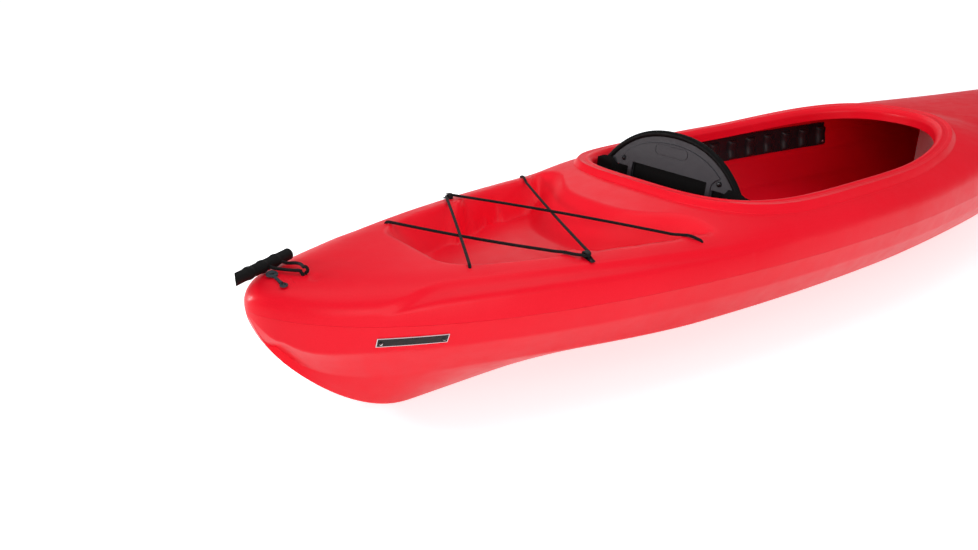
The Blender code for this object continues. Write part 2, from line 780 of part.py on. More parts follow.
def opening_point(turn):
    """A point on the opening's edge; turn 0 is the aft middle, a half turn the front."""
    cosine = np.cos(turn)
    sine = np.sin(turn)
    aft = cosine > 0
    power = np.where(aft, OPENING_AFT_POWER, OPENING_FORE_POWER)
    reach = np.where(aft, OPENING_WIDE - OPENING_AFT, OPENING_FORE - OPENING_WIDE)
    station = OPENING_WIDE - np.sign(cosine) * reach * np.abs(cosine) ** (2.0 / power)
    return station, OPENING_HALF * np.sign(sine) * np.abs(sine) ** (2.0 / power)


def offset_edge(station, y, distance):
    """Moves points of the opening's edge outwards by a distance, along the edge's normal."""
    step = 1e-5
    slope_station = opening_distance(station + step, y) - opening_distance(station - step, y)
    slope_y = opening_distance(station, y + step) - opening_distance(station, y - step)
    size = np.maximum(np.hypot(slope_station, slope_y), 1e-12)
    return station + distance * slope_station / size, y + distance * slope_y / size


def cockpit_patch():
    """The deck round the opening: the coaming's flange, its rings, then out to the patch's border."""
    aft_station, aft_row = (grid[0] for grid in aft_grid(np.array([PATCH_AFT])))
    fore_row = both_sides(fore_columns(np.array([PATCH_FORE])))[0]
    side = np.linspace(aft_station[0], PATCH_FORE, SIDE_STEPS + 1)[1:-1]
    corner_aft = math.radians(50)
    corner_fore = math.radians(142)
    aft_half = float(opening_point(np.array(corner_aft))[1])
    fore_half = float(opening_point(np.array(corner_fore))[1])
    share = aft_row / aft_row[-1]
    aft_turn = np.sign(share) * np.arcsin((np.abs(share) * aft_half / OPENING_HALF) ** (OPENING_AFT_POWER / 2))
    share = fore_row[::-1] / fore_row[-1]
    reach = np.arcsin((np.abs(share) * fore_half / OPENING_HALF) ** (OPENING_FORE_POWER / 2))
    fore_turn = np.pi - np.sign(share) * reach
    start = float(opening_point(np.array(corner_aft))[0])
    end = float(opening_point(np.array(corner_fore))[0])
    along = start + (end - start) * (side - aft_station[0]) / (PATCH_FORE - aft_station[0])
    aft_part = np.clip((OPENING_WIDE - along) / (OPENING_WIDE - OPENING_AFT), 0.0, 1.0)
    aft_cosine = aft_part ** (OPENING_AFT_POWER / 2)
    fore_part = np.clip((along - OPENING_WIDE) / (OPENING_FORE - OPENING_WIDE), 0.0, 1.0)
    fore_cosine = fore_part ** (OPENING_FORE_POWER / 2)
    side_turn = np.arccos(aft_cosine - fore_cosine)
    turn = np.concatenate([aft_turn, side_turn, fore_turn, -side_turn[::-1], aft_turn[:1]])
    half, _ = seam_point(side)
    border_station = np.concatenate([
        aft_station, side, np.full(len(fore_row), PATCH_FORE), side[::-1], aft_station[:1]
    ])
    border_y = np.concatenate([aft_row, half, fore_row[::-1], -half[::-1], aft_row[:1]])
    on_seam = np.concatenate([
        np.arange(len(aft_row)) % (len(aft_row) - 1) == 0, np.ones(len(side), bool),
        np.arange(len(fore_row)) % (len(fore_row) - 1) == 0, np.ones(len(side), bool), [True]
    ])
    edge_station, edge_y = opening_point(turn)
    lip = deck_height(edge_station, edge_y)
    upper = []
    lower = []
    flange_station, flange_y = offset_edge(edge_station, edge_y, FLANGE_OUTER)
    back_station, back_y = offset_edge(edge_station, edge_y, FLANGE_OUTER + WALL)
    for drop, back_drop in ((FLANGE_DEPTH, FLANGE_DEPTH), (0.005, 0.005 + 0.8 * WALL)):
        upper.append(world(flange_station, flange_y, lip - drop))
        lower.append(world(back_station, back_y, lip - back_drop))
    dish = 0.58 * COAMING_WIDTH
    for distance in (0.0, 0.009, dish, COAMING_WIDTH - 0.003, COAMING_WIDTH + 0.004, COAMING_REACH):
        station, y = offset_edge(edge_station, edge_y, distance)
        upper.append(world(station, y, deck_height(station, y)))
        inset = distance + (FLANGE_OUTER + 1.15 * WALL) * (1.0 - smoothstep(0.0, dish, distance))
        inner_station, inner_y = offset_edge(edge_station, edge_y, inset)
        lower.append(world(inner_station, inner_y, deck_height(station, y) - 1.1 * WALL))
    last_station, last_y = offset_edge(edge_station, edge_y, COAMING_REACH)
    for part in (0.3, 0.6, 0.85, 1.0):
        station = last_station + (border_station - last_station) * part
        y = last_y + (border_y - last_y) * part
        z = deck_height(station, y)
        upper.append(world(station, y, z))
        lower.append(under_deck(station, y, z))
    upper[-1][:, 2] = np.where(on_seam, seam_point(border_station)[1], upper[-1][:, 2])
    lower[-1][:, 2] = np.where(on_seam, seam_point(border_station)[1], lower[-1][:, 2])
    return np.stack(upper), np.stack(lower)


def deck_solid():
    aft = deck_patch(*aft_grid(deck_stations_aft()))
    nose = LENGTH - np.array([0.040, 0.022, 0.010, 0.003, 0.0])
    fore_rows = np.concatenate([np.linspace(PATCH_FORE, LENGTH - 0.07, 9), nose])
    fore_y = both_sides(fore_columns(fore_rows))
    fore = deck_patch(np.repeat(fore_rows[:, None], fore_y.shape[1], 1), fore_y)
    cockpit = [patch[:, ::-1] for patch in cockpit_patch()]
    return sandwich([aft[0], cockpit[0], fore[0]], [aft[1], cockpit[1], fore[1]])


def outward_faces(points, faces):
    """Faces turned so that the solid's volume is positive."""
    volume = 0.0
    for face in faces:
        for second, third in zip(face[1:-1], face[2:]):
            volume += float(np.dot(points[face[0]], np.cross(points[second], points[third])))
    return faces if volume > 0 else [list(reversed(face)) for face in faces]


def screw_profile(shank_length):
    """A pan head with a socket, and its shank; height 0 is the head's underside."""
    socket = 0.45 * SCREW_HEAD
    return [
        (0.0, -shank_length), (SCREW_SHANK, -shank_length), (SCREW_SHANK, 0.0), (SCREW_HEAD, 0.0),
        (SCREW_HEAD, 0.5 * SCREW_HEIGHT), (0.7 * SCREW_HEAD, SCREW_HEIGHT), (socket, SCREW_HEIGHT),
        (0.0, 0.5 * SCREW_HEIGHT),
    ]


def turned(name, profile, sides, matrix, look, parent=None, origin=(0.0, 0.0, 0.0)):
    points, faces = lathe(profile, sides)
    return mesh_object(name, moved(points, matrix), outward_faces(points, faces), look, origin, parent)


def drill(point, direction, radius, before, after, sides=12):
    """A cylinder for a Boolean, from `before` behind the point to `after` past it."""
    frame = frame_at(point, direction, (1.0, 0.0, 0.0) if abs(direction[0]) < 0.9 else (0.0, 1.0, 0.0))
    points, faces = lathe([(0.0, -before), (radius, -before), (radius, after), (0.0, after)], sides)
    return moved(points, frame), outward_faces(points, faces)


def build_shell(looks):
    """The hull and the deck, and lookups on both."""
    points, faces = hull_solid()
    faces = outward_faces(points, faces)
    hull = mesh_object("hull", points, faces, looks["shell"])
    hull_lookup = Surface(points, faces)
    points, faces = deck_solid()
    faces = outward_faces(points, faces)
    deck = mesh_object("deck", points, faces, looks["shell"])
    return hull, deck, hull_lookup, Surface(points, faces)


def x_of(station):
    return station - LENGTH / 2


def hook_outline():
    """Side view of a cord hook, outboard and up: foot, post and a lip over the cord."""
    post = HOOK_WIDTH / 2
    return [
        (-post, 0.0), (HOOK_TAIL, 0.0), (HOOK_TAIL, 0.7 * HOOK_FOOT), (HOOK_TAIL - 0.003, HOOK_FOOT),
        (0.0, HOOK_FOOT),
        (0.0, HOOK_HEIGHT - 0.0026), (2.1 * post, HOOK_HEIGHT - 0.0022), (1.8 * post, HOOK_HEIGHT - 0.0004),
        (0.4 * post, HOOK_HEIGHT), (-0.7 * post, HOOK_HEIGHT - 0.0008), (-post, HOOK_HEIGHT - 0.003),
    ]


def build_hooks(deck_lookup, looks):
    """Both cord hooks with their screws; returns the hooks' frames and the deck's screw holes."""
    frames = {}
    holes = []
    for side, word in ((1.0, "port"), (-1.0, "starboard")):
        place, normal = deck_lookup.below(x_of(HOOK_STATION), side * HOOK_SIDE)
        frame = frame_at(place, normal, (0.0, side, 0.0))
        half = HOOK_WIDTH / 2
        reach = [(x, y) for x in np.linspace(-half, HOOK_TAIL, 6) for y in (-half, 0.0, half)]
        frame = deck_lookup.seat(frame, reach, FIT_GAP)
        points, faces = prism(hook_outline(), -HOOK_WIDTH / 2, HOOK_WIDTH / 2)
        points = points[:, [0, 2, 1]] * np.array([1.0, -1.0, 1.0])
        faces = outward_faces(points, faces)
        hook = mesh_object(f"cord_hook_{word}", moved(points, frame), faces, looks["black"])
        head = frame @ Matrix.Translation((0.72 * HOOK_TAIL, 0.0, HOOK_FOOT + FIT_GAP))
        axis = np.array(head.to_3x3() @ Vector((0.0, 0.0, 1.0)))
        turned(f"hook_screw_{word}", screw_profile(0.012), 8, head, looks["steel"])
        drilled = drill(np.array(head.translation), axis, SCREW_SHANK + DRILL_CLEARANCE, 0.03, 0.01, 10)
        boolean(hook, f"cut_hook_{word}", [drilled], "DIFFERENCE")
        holes.append(drilled)
        frames[side] = frame
    return frames, holes


def hook_turn(frame, side, sweep):
    """The cord's way round the outboard side of a hook's post, as world points from one side to the other."""
    radius = 0.5 * math.hypot(HOOK_WIDTH, HOOK_WIDTH / 2) + CORD_RADIUS + 0.0012
    height = HOOK_FOOT + CORD_RADIUS + 0.0005
    centre = -0.25 * HOOK_WIDTH
    points = []
    for turn in np.linspace(-sweep, sweep, 7):
        local = Vector((centre + radius * math.cos(turn), side * radius * math.sin(turn), height))
        points.append(np.array(frame @ local))
    return points


def hole_exit(place, toward):
    """The cord's bend from its deck hole to its straight run."""
    along = np.array([toward[0], toward[1], 0.0])
    along = along / np.linalg.norm(along)
    low = place[2] - 0.003
    points = []
    for turn in np.linspace(0.0, math.pi / 2, 5):
        shift = CORD_BEND * (1.0 - math.cos(turn))
        points.append(np.array([place[0], place[1], low + CORD_BEND * math.sin(turn)]) + along * shift)
    return points


def knot_end(place):
    """The knotted end under the deck, up to the deck's hole, with the width at each point."""
    under = place[2] - WALL
    heights = [under - 0.020, under - 0.0175, under - 0.013, under - 0.0080, under - 0.0045, under - 0.0010]
    knob = KNOT_RADIUS / CORD_RADIUS
    widths = [0.55 * knob, 0.92 * knob, knob, 0.85 * knob, 1.0, 1.0]
    return [np.array([place[0], place[1], height]) for height in heights], widths


def straight_run(start, end, sag, deck_lookup):
    """Points between two ends, bowed by a sag and kept clear of the deck."""
    count = max(int(np.linalg.norm(end - start) / 0.017), 3)
    points = []
    for part in np.linspace(0.0, 1.0, count + 1)[1:-1]:
        point = start + (end - start) * part
        point[2] += sag * math.sin(math.pi * part)
        for x, y in ((0.0, 0.0), (1.0, 0.0), (-1.0, 0.0), (0.0, 1.0), (0.0, -1.0)):
            floor, _ = deck_lookup.below(point[0] + x * CORD_RADIUS, point[1] + y * CORD_RADIUS)
            point[2] = max(point[2], floor[2] + CORD_RADIUS + CORD_CLEARANCE)
        points.append(point)
    return points


def build_shock_cords(deck_lookup, frames, looks):
    """Two elastic cords, each from a hole aft, round the other side's hook, and back to a hole forward."""
    holes = []
    for side, word, sag in ((1.0, "lower", -0.0037), (-1.0, "upper", 0.0037)):
        first, _ = deck_lookup.below(x_of(CORD_AFT_STATION), side * CORD_AFT_SIDE)
        last, _ = deck_lookup.below(x_of(CORD_FORE_STATION), side * CORD_FORE_SIDE)
        for place in (first, last):
            holes.append(drill(place, (0.0, 0.0, 1.0), CORD_HOLE, 0.03, 0.02, 12))
        turn = hook_turn(frames[-side], side, math.radians(68))
        if turn[0][0] > turn[-1][0]:
            turn = turn[::-1]
        start_knot, start_widths = knot_end(first)
        end_knot, end_widths = knot_end(last)
        rise = hole_exit(first, turn[0] - first)
        fall = hole_exit(last, turn[-1] - last)[::-1]
        first_run = straight_run(rise[-1], turn[0], sag, deck_lookup)
        second_run = straight_run(turn[-1], fall[0], sag, deck_lookup)
        route = start_knot + rise + first_run + turn + second_run + fall + end_knot[::-1]
        plain = len(route) - len(start_widths) - len(end_widths)
        widths = start_widths + [1.0] * plain + end_widths[::-1]
        cord_object(f"shock_cord_{word}", route, CORD_RADIUS, looks["cord"], widths)
    return holes


def grip_profile():
    """Outside and bore of the ribbed tube grip, along its length."""
    half = GRIP_LENGTH / 2
    outer = []
    for at in np.linspace(-half + 0.0125, half - 0.0125, 17):
        rib = sum(math.exp(-(((at - centre) / 0.0042) ** 2)) for centre in (-0.042, -0.014, 0.014, 0.042))
        outer.append((GRIP_RADIUS + GRIP_RIB * rib, at))
    flare = GRIP_RADIUS + 0.4 * GRIP_RIB
    return [(GRIP_BORE, -half), (flare, -half)] + outer + [(flare, half), (GRIP_BORE, half)]


def build_handle(word, bow, deck_lookup, looks):
    """A tube grip on a looped cord. The empty on the deck hole carries both; returns the deck's hole."""
    mirror = -1.0 if bow else 1.0
    hole_station = LENGTH - HANDLE_HOLE_STATION if bow else HANDLE_HOLE_STATION
    place, normal = deck_lookup.below(x_of(hole_station), HANDLE_HOLE_SIDE)
    pivot = bpy.data.objects.new(f"{word}_handle_pivot", None)
    bpy.context.scene.collection.objects.link(pivot)
    pivot.location = place
    bpy.context.view_layer.update()
    grip_x = mirror * (GRIP_STATION - LENGTH / 2)
    axis = np.array([mirror * math.cos(GRIP_TURN), math.sin(GRIP_TURN), 0.0])
    reach = GRIP_RADIUS + 1.1 * GRIP_RIB
    sideways = np.array([-axis[1], axis[0], 0.0])
    level = -1.0
    for at in np.linspace(-0.5, 0.5, 25):
        for part in (-1.0, -0.8, -0.5, -0.2, 0.0, 0.2, 0.5, 0.8, 1.0):
            spot = np.array([grip_x, GRIP_SIDE, 0.0]) + axis * at * GRIP_LENGTH + sideways * part * reach
            start = Vector((spot[0], spot[1], 1.0))
            hit, _, _, _ = deck_lookup.tree.ray_cast(start, Vector((0.0, 0.0, -1.0)))
            if hit is not None:
                level = max(level, hit[2] + reach * math.sqrt(1.0 - part**2))
    centre = np.array([grip_x, GRIP_SIDE, level + FIT_GAP])
    frame = frame_at(centre, axis, (0.0, 0.0, 1.0))
    points, faces = lathe(grip_profile(), 10)
    faces = outward_faces(points, faces)
    grip = mesh_object(f"{word}_handle_grip", moved(points, frame), faces, looks["black"], tuple(place), pivot)
    inner = np.array([place[0], place[1], place[2] - 0.0008])
    route = [[], []]
    cuts = []
    to_hole = inner - centre
    toward = to_hole - axis * float(to_hole @ axis)
    toward = toward / np.linalg.norm(toward)
    for strand, (shift, sign) in enumerate(zip(STRAND_EXITS, (-1.0, 1.0))):
        inside = centre + axis * shift
        exit_point = inside + toward * (GRIP_RADIUS + GRIP_RIB + 0.004)
        away = np.array([toward[0], toward[1], 0.0]) / np.hypot(toward[0], toward[1])
        outside = exit_point + away * 0.010
        landing = inner + axis * sign * STRAND_SPACING / 2
        top = landing + np.array([0.0, 0.0, 0.0040])
        ring = top - away * 0.0045 + np.array([0.0, 0.0, 0.0025])
        path = [inside, inside + toward * 0.5 * GRIP_RADIUS, exit_point]
        for part in (0.0, 0.25, 0.5, 0.75, 1.0):
            spot = outside + (ring - outside) * part
            spot = spot + axis * (0.008 if sign > 0 else -0.001) * math.sin(math.pi * part)
            floor = deck_lookup.below(spot[0], spot[1])[0][2]
            spot[2] = max(spot[2], floor + HANDLE_CORD_RADIUS + 0.0008)
            path.append(spot)
        path += [top, landing]
        route[strand] = path
        cuts.append(drill(inside, toward, HANDLE_CORD_RADIUS + 0.0006, 0.0, 0.03, 12))
    whole = route[0][::-1] + route[1]
    cord_object(f"{word}_handle_cord", whole, HANDLE_CORD_RADIUS, looks["cord"], None, 2, pivot, tuple(place))
    helper = boolean(grip, f"cut_{word}_grip", cuts, "DIFFERENCE")
    helper.location = (0.0, 0.0, 0.0)
    knot_frame = frame_at(place, normal, (1.0, 0.0, 0.0))
    under = deck_lookup.roof(knot_frame, HANDLE_KNOT_TOP, 0.03) - FIT_GAP
    knot = [
        (0.0, under - 0.026), (0.006, under - 0.025), (0.011, under - 0.018), (0.0125, under - 0.010),
        (0.0115, under - 0.002), (HANDLE_KNOT_TOP, under), (HANDLE_HOLE, under),
        (0.9 * HANDLE_HOLE, under - 0.001),
        (0.0, under - 0.001),
    ]
    turned(f"{word}_handle_knot", knot, 12, knot_frame, looks["cord"])
    return drill(place, (0.0, 0.0, 1.0), HANDLE_HOLE, 0.03, 0.02, 20)


def build_drain_plug(deck_lookup, looks):
    """A rubber plug that lifts on its own strap; returns the deck's holes."""
    x = x_of(PLUG_STATION)
    head_place, _ = deck_lookup.below(x, PLUG_SIDE)
    anchor_place, _ = deck_lookup.below(x, ANCHOR_SIDE)
    along = head_place - anchor_place
    distance = float(np.linalg.norm(along))
    along = along / distance
    normal = np.cross(np.array([1.0, 0.0, 0.0]), along)
    frame = frame_at(anchor_place, normal, along)
    turns = np.linspace(0, 6, 9)
    spots = [(r * math.cos(t), r * math.sin(t)) for r in (0.5 * ANCHOR_RADIUS, ANCHOR_RADIUS) for t in turns]
    spots += [(distance + PLUG_HEAD_RADIUS * math.cos(t), PLUG_HEAD_RADIUS * math.sin(t)) for t in turns]
    spots += [(part * distance, side * STRAP_WIDTH / 2) for part in np.linspace(0, 1, 9) for side in (-1, 1)]
    frame = deck_lookup.seat(frame, spots, FIT_GAP)
    up = np.array(frame.to_3x3() @ Vector((0.0, 0.0, 1.0)))
    ring = [
        (0.0026, 0.0), (ANCHOR_RADIUS, 0.0), (ANCHOR_RADIUS, 0.6 * ANCHOR_HEIGHT),
        (0.85 * ANCHOR_RADIUS, ANCHOR_HEIGHT), (0.0026, ANCHOR_HEIGHT),
    ]
    turned("drain_plug_anchor", ring, 16, frame, looks["slate"])
    head_frame = frame @ Matrix.Translation((0.0, 0.0, ANCHOR_HEIGHT + FIT_GAP))
    turned("anchor_screw", screw_profile(0.013), 8, head_frame, looks["steel"])
    hinge_at = ANCHOR_RADIUS + 0.0016
    hinge = np.array(frame @ Vector((hinge_at, 0.0, STRAP_THICKNESS / 2)))
    plug_frame = frame @ Matrix.Translation((distance, 0.0, 0.0))
    head = [
        (0.0, -PLUG_STEM_LENGTH), (0.8 * PLUG_STEM_RADIUS, -PLUG_STEM_LENGTH),
        (PLUG_STEM_RADIUS, -0.7 * PLUG_STEM_LENGTH),
        (PLUG_STEM_RADIUS, 0.0), (PLUG_HEAD_RADIUS, 0.0), (PLUG_HEAD_RADIUS, 0.6 * PLUG_HEAD_HEIGHT),
        (0.8 * PLUG_HEAD_RADIUS, PLUG_HEAD_HEIGHT), (0.35 * PLUG_HEAD_RADIUS, 0.82 * PLUG_HEAD_HEIGHT),
        (0.0, 0.80 * PLUG_HEAD_HEIGHT),
    ]
    plug = turned("drain_plug", head, 16, plug_frame, looks["slate"], None, tuple(hinge))
    low = (hinge_at, -STRAP_WIDTH / 2, 0.0)
    high = (distance - 0.6 * PLUG_HEAD_RADIUS, STRAP_WIDTH / 2, STRAP_THICKNESS)
    points, faces = box_mesh(low, high)
    boolean(plug, "join_strap", [(moved(points, frame), outward_faces(points, faces))], "UNION")
    screw_hole = drill(np.array(frame.translation), up, SCREW_SHANK + DRILL_CLEARANCE, 0.03, 0.01, 10)
    plug_hole = drill(np.array(plug_frame.translation), up, PLUG_HOLE, 0.03, 0.01, 20)
    return hinge, [screw_hole, plug_hole]


def floor_point(hull_lookup, station, y, lift):
    """A point this far off the hull's inner floor, along the floor's normal."""
    place, normal = hull_lookup.below(x_of(station), y, 0.2)
    return place + normal * lift


def section_offset(profile, distance):
    """Shifts that move a (y, z) polyline sideways by a distance, its first point kept on the middle plane."""
    along = np.diff(profile, axis=0)
    along = along / np.linalg.norm(along, axis=1, keepdims=True)
    normal = np.stack([-along[:, 1], along[:, 0]], -1)
    before = np.concatenate([normal[:1] * [[-1.0, 1.0]], normal])
    after = np.concatenate([normal, normal[-1:]])
    middle = before + after
    middle = middle / np.linalg.norm(middle, axis=1, keepdims=True)
    mitre = np.clip((middle * after).sum(axis=1), 0.6, 1.0)
    return distance * middle / mitre[:, None]


def build_seat_pan(hull_lookup, looks):
    """A dished pan that stands on the hull's floor on two long feet, with ears for the seat back's pins."""
    stations = PAN_AFT + (PAN_FORE - PAN_AFT) * np.linspace(0.0, 1.0, 10) ** 1.3
    rows = []
    unders = []
    for station in stations:
        part = (station - PAN_AFT) / (PAN_FORE - PAN_AFT)
        dish = PAN_DISH + PAN_FRONT_RISE * smoothstep(0.45, 0.95, part)
        dish = dish + 0.03 * (1.0 - smoothstep(0.0, 0.22, part))
        bolster = BOLSTER_HEIGHT - 0.018 * smoothstep(0.5, 1.0, part)
        half = PAN_HALF - 0.012 * smoothstep(0.6, 1.0, part)
        profile = [(0.0, dish), (0.07, dish + 0.001), (0.125, dish + 0.006)]
        profile.append((half - 0.045, dish + 0.6 * (bolster - dish)))
        profile += [(half - 0.020, bolster), (half - 0.006, bolster - 0.003)]
        row = [np.array([x_of(station), y, z]) for y, z in profile]
        foot = half + 0.004
        knee = floor_point(hull_lookup, station, foot, FLOOR_GAP + PAN_WALL)
        row.append(np.array([x_of(station), half + 0.001, knee[2] + 0.004]))
        for extra in (0.4, 1.0):
            spot = floor_point(hull_lookup, station, foot + extra * FOOT_WIDTH, FLOOR_GAP + PAN_WALL)
            row.append(np.array([x_of(station), spot[1], spot[2]]))
        row = np.array(row)
        under = row.copy()
        under[:, 1:] += section_offset(row[:, 1:], -PAN_WALL)
        mirror = np.array([1.0, -1.0, 1.0])
        rows.append(np.concatenate([row[:0:-1] * mirror, row]))
        unders.append(np.concatenate([under[:0:-1] * mirror, under]))
    solid, closed = sandwich([np.stack(rows)], [np.stack(unders)])
    closed = outward_faces(solid, closed)
    pan = mesh_object("seat_pan", solid, closed, looks["black"])
    ears = []
    holes = []
    for side in (1.0, -1.0):
        outline = [(-0.016, -0.045), (0.016, -0.045), (0.016, 0.004)]
        outline += [(0.009, 0.013), (-0.009, 0.013), (-0.016, 0.004)]
        points, faces = prism(outline, EAR_INNER, EAR_OUTER)
        points = points[:, [0, 2, 1]] * np.array([1.0, side, 1.0])
        points = points + np.array([x_of(BACK_PIVOT_STATION), 0.0, BACK_PIVOT_HEIGHT])
        ears.append((points, outward_faces(points, faces)))
        centre = np.array([x_of(BACK_PIVOT_STATION), side * EAR_INNER, BACK_PIVOT_HEIGHT])
        holes.append(drill(centre, (0.0, side, 0.0), PIVOT_RADIUS + DRILL_CLEARANCE, 0.01, 0.03, 12))
    boolean(pan, "join_ears", ears, "UNION")
    boolean(pan, "cut_ear_holes", holes, "DIFFERENCE")
    return pan, Surface(solid, closed)


def cushion_grid(columns, rows, outline, crown):
    """Upper and lower sheets of a pad on (u, v) in -1..1, pulled in at the corners by a squircle outline."""
    across = np.sin(np.linspace(-1.0, 1.0, columns) * math.pi / 2)
    along = np.sin(np.linspace(-1.0, 1.0, rows) * math.pi / 2)
    u, v = np.meshgrid(across, along, indexing="ij")
    across = u * np.sqrt(1.0 - outline * v**2 / 2)
    along = v * np.sqrt(1.0 - outline * u**2 / 2)
    edge = np.maximum((1.0 - np.abs(u) ** 6) * (1.0 - np.abs(v) ** 6), 0.0)
    return across, along, crown * edge**0.45, edge


def build_pan_cushion(pan_lookup, looks):
    """Seat cushion: crowned, drawn in at its sides, with stitched channels across it."""
    across, along, lift, edge = cushion_grid(12, 18, 0.35, PAN_CUSHION_THICKNESS)
    centre = (PAN_AFT + PAN_FORE) / 2 + 0.022
    half_length = (PAN_FORE - PAN_AFT) / 2 - 0.055
    upper = np.zeros(across.shape + (3,))
    lower = np.zeros_like(upper)
    for index in np.ndindex(across.shape):
        x = x_of(centre + half_length * along[index])
        y = PAN_CUSHION_HALF * across[index] * (1.0 - 0.06 * math.cos(math.pi * along[index] / 2))
        place, _ = pan_lookup.below(x, y)
        near = sum(math.exp(-(((along[index] - line) / 0.05) ** 2)) for line in (-0.42, 0.0, 0.42))
        seam = 0.0045 * edge[index] * near
        tuck = 0.006 * (1.0 - edge[index]) ** 2
        upper[index] = (x, y, place[2] + tuck + 0.0035 + lift[index] - seam)
        lower[index] = (x, y, place[2] + tuck)
    low_points, low_faces, _ = sewn([lower])
    low_lookup = Surface(low_points, low_faces)
    tightest = 9.0
    for x in np.linspace(lower[..., 0].min(), lower[..., 0].max(), 90):
        for y in np.linspace(-PAN_CUSHION_HALF, PAN_CUSHION_HALF, 75):
            over, _, _, _ = low_lookup.tree.ray_cast(Vector((x, y, 1.0)), Vector((0.0, 0.0, -1.0)))
            if over is not None:
                tightest = min(tightest, over[2] - pan_lookup.below(x, y)[0][2])
    upper[..., 2] += SOFT_GAP - tightest
    lower[..., 2] += SOFT_GAP - tightest
    points, faces = sandwich([upper], [lower])
    mesh_object("seat_cushion", points, outward_faces(points, faces), looks["pad"])


def back_outline(grow=0.0):
    """(y, height) of the seat back's plate, counter-clockwise: straight foot, flared sides, oval top."""
    start = math.asin((BACK_SHOULDER / BACK_TOP) ** (BACK_POWER / 2))
    shoulder = BACK_HALF * math.cos(start) ** (2 / BACK_POWER)
    points = [(-BACK_FOOT_HALF, BACK_FOOT), (BACK_FOOT_HALF, BACK_FOOT)]
    for part in (0.25, 0.5, 0.75):
        flare = BACK_FOOT_HALF + (shoulder - BACK_FOOT_HALF) * float(smoothstep(0.0, 1.0, part)) ** 0.9
        points.append((flare, BACK_FOOT + (BACK_SHOULDER - BACK_FOOT) * part))
    for turn in np.linspace(start, math.pi - start, 21):
        across = abs(math.cos(turn)) ** (2 / BACK_POWER)
        height = BACK_TOP * math.sin(turn) ** (2 / BACK_POWER)
        points.append((math.copysign(BACK_HALF * across, math.cos(turn)), height))
    points += [(-y, z) for y, z in points[4:1:-1]]
    points = np.array(points)
    if grow == 0.0:
        return points
    before = np.roll(points, 1, axis=0)
    after = np.roll(points, -1, axis=0)
    along = after - before
    outward = np.stack([along[:, 1], -along[:, 0]], -1)
    return points + grow * outward / np.linalg.norm(outward, axis=1, keepdims=True)


def back_matrix():
    """From the seat back's own frame (X forward, Y port, Z up the plate, origin on the pivot) to the world."""
    pivot = Matrix.Translation((x_of(BACK_PIVOT_STATION), 0.0, BACK_PIVOT_HEIGHT))
    return pivot @ Matrix.Rotation(-BACK_LEAN, 4, "Y")


def stadium(half_width, height, centre, steps=6):
    radius = height / 2
    points = []
    for end in (1.0, -1.0):
        for turn in np.linspace(-math.pi / 2, math.pi / 2, steps):
            reach = half_width - radius + radius * math.cos(turn)
            points.append((end * reach, centre + end * radius * math.sin(turn)))
    return points


def back_prism(outline, low, high):
    """A prism on a (y, z) outline between two x values in the seat back's frame."""
    points, faces = prism(outline, low, high)
    points = points[:, [2, 0, 1]]
    return points, outward_faces(points, faces)


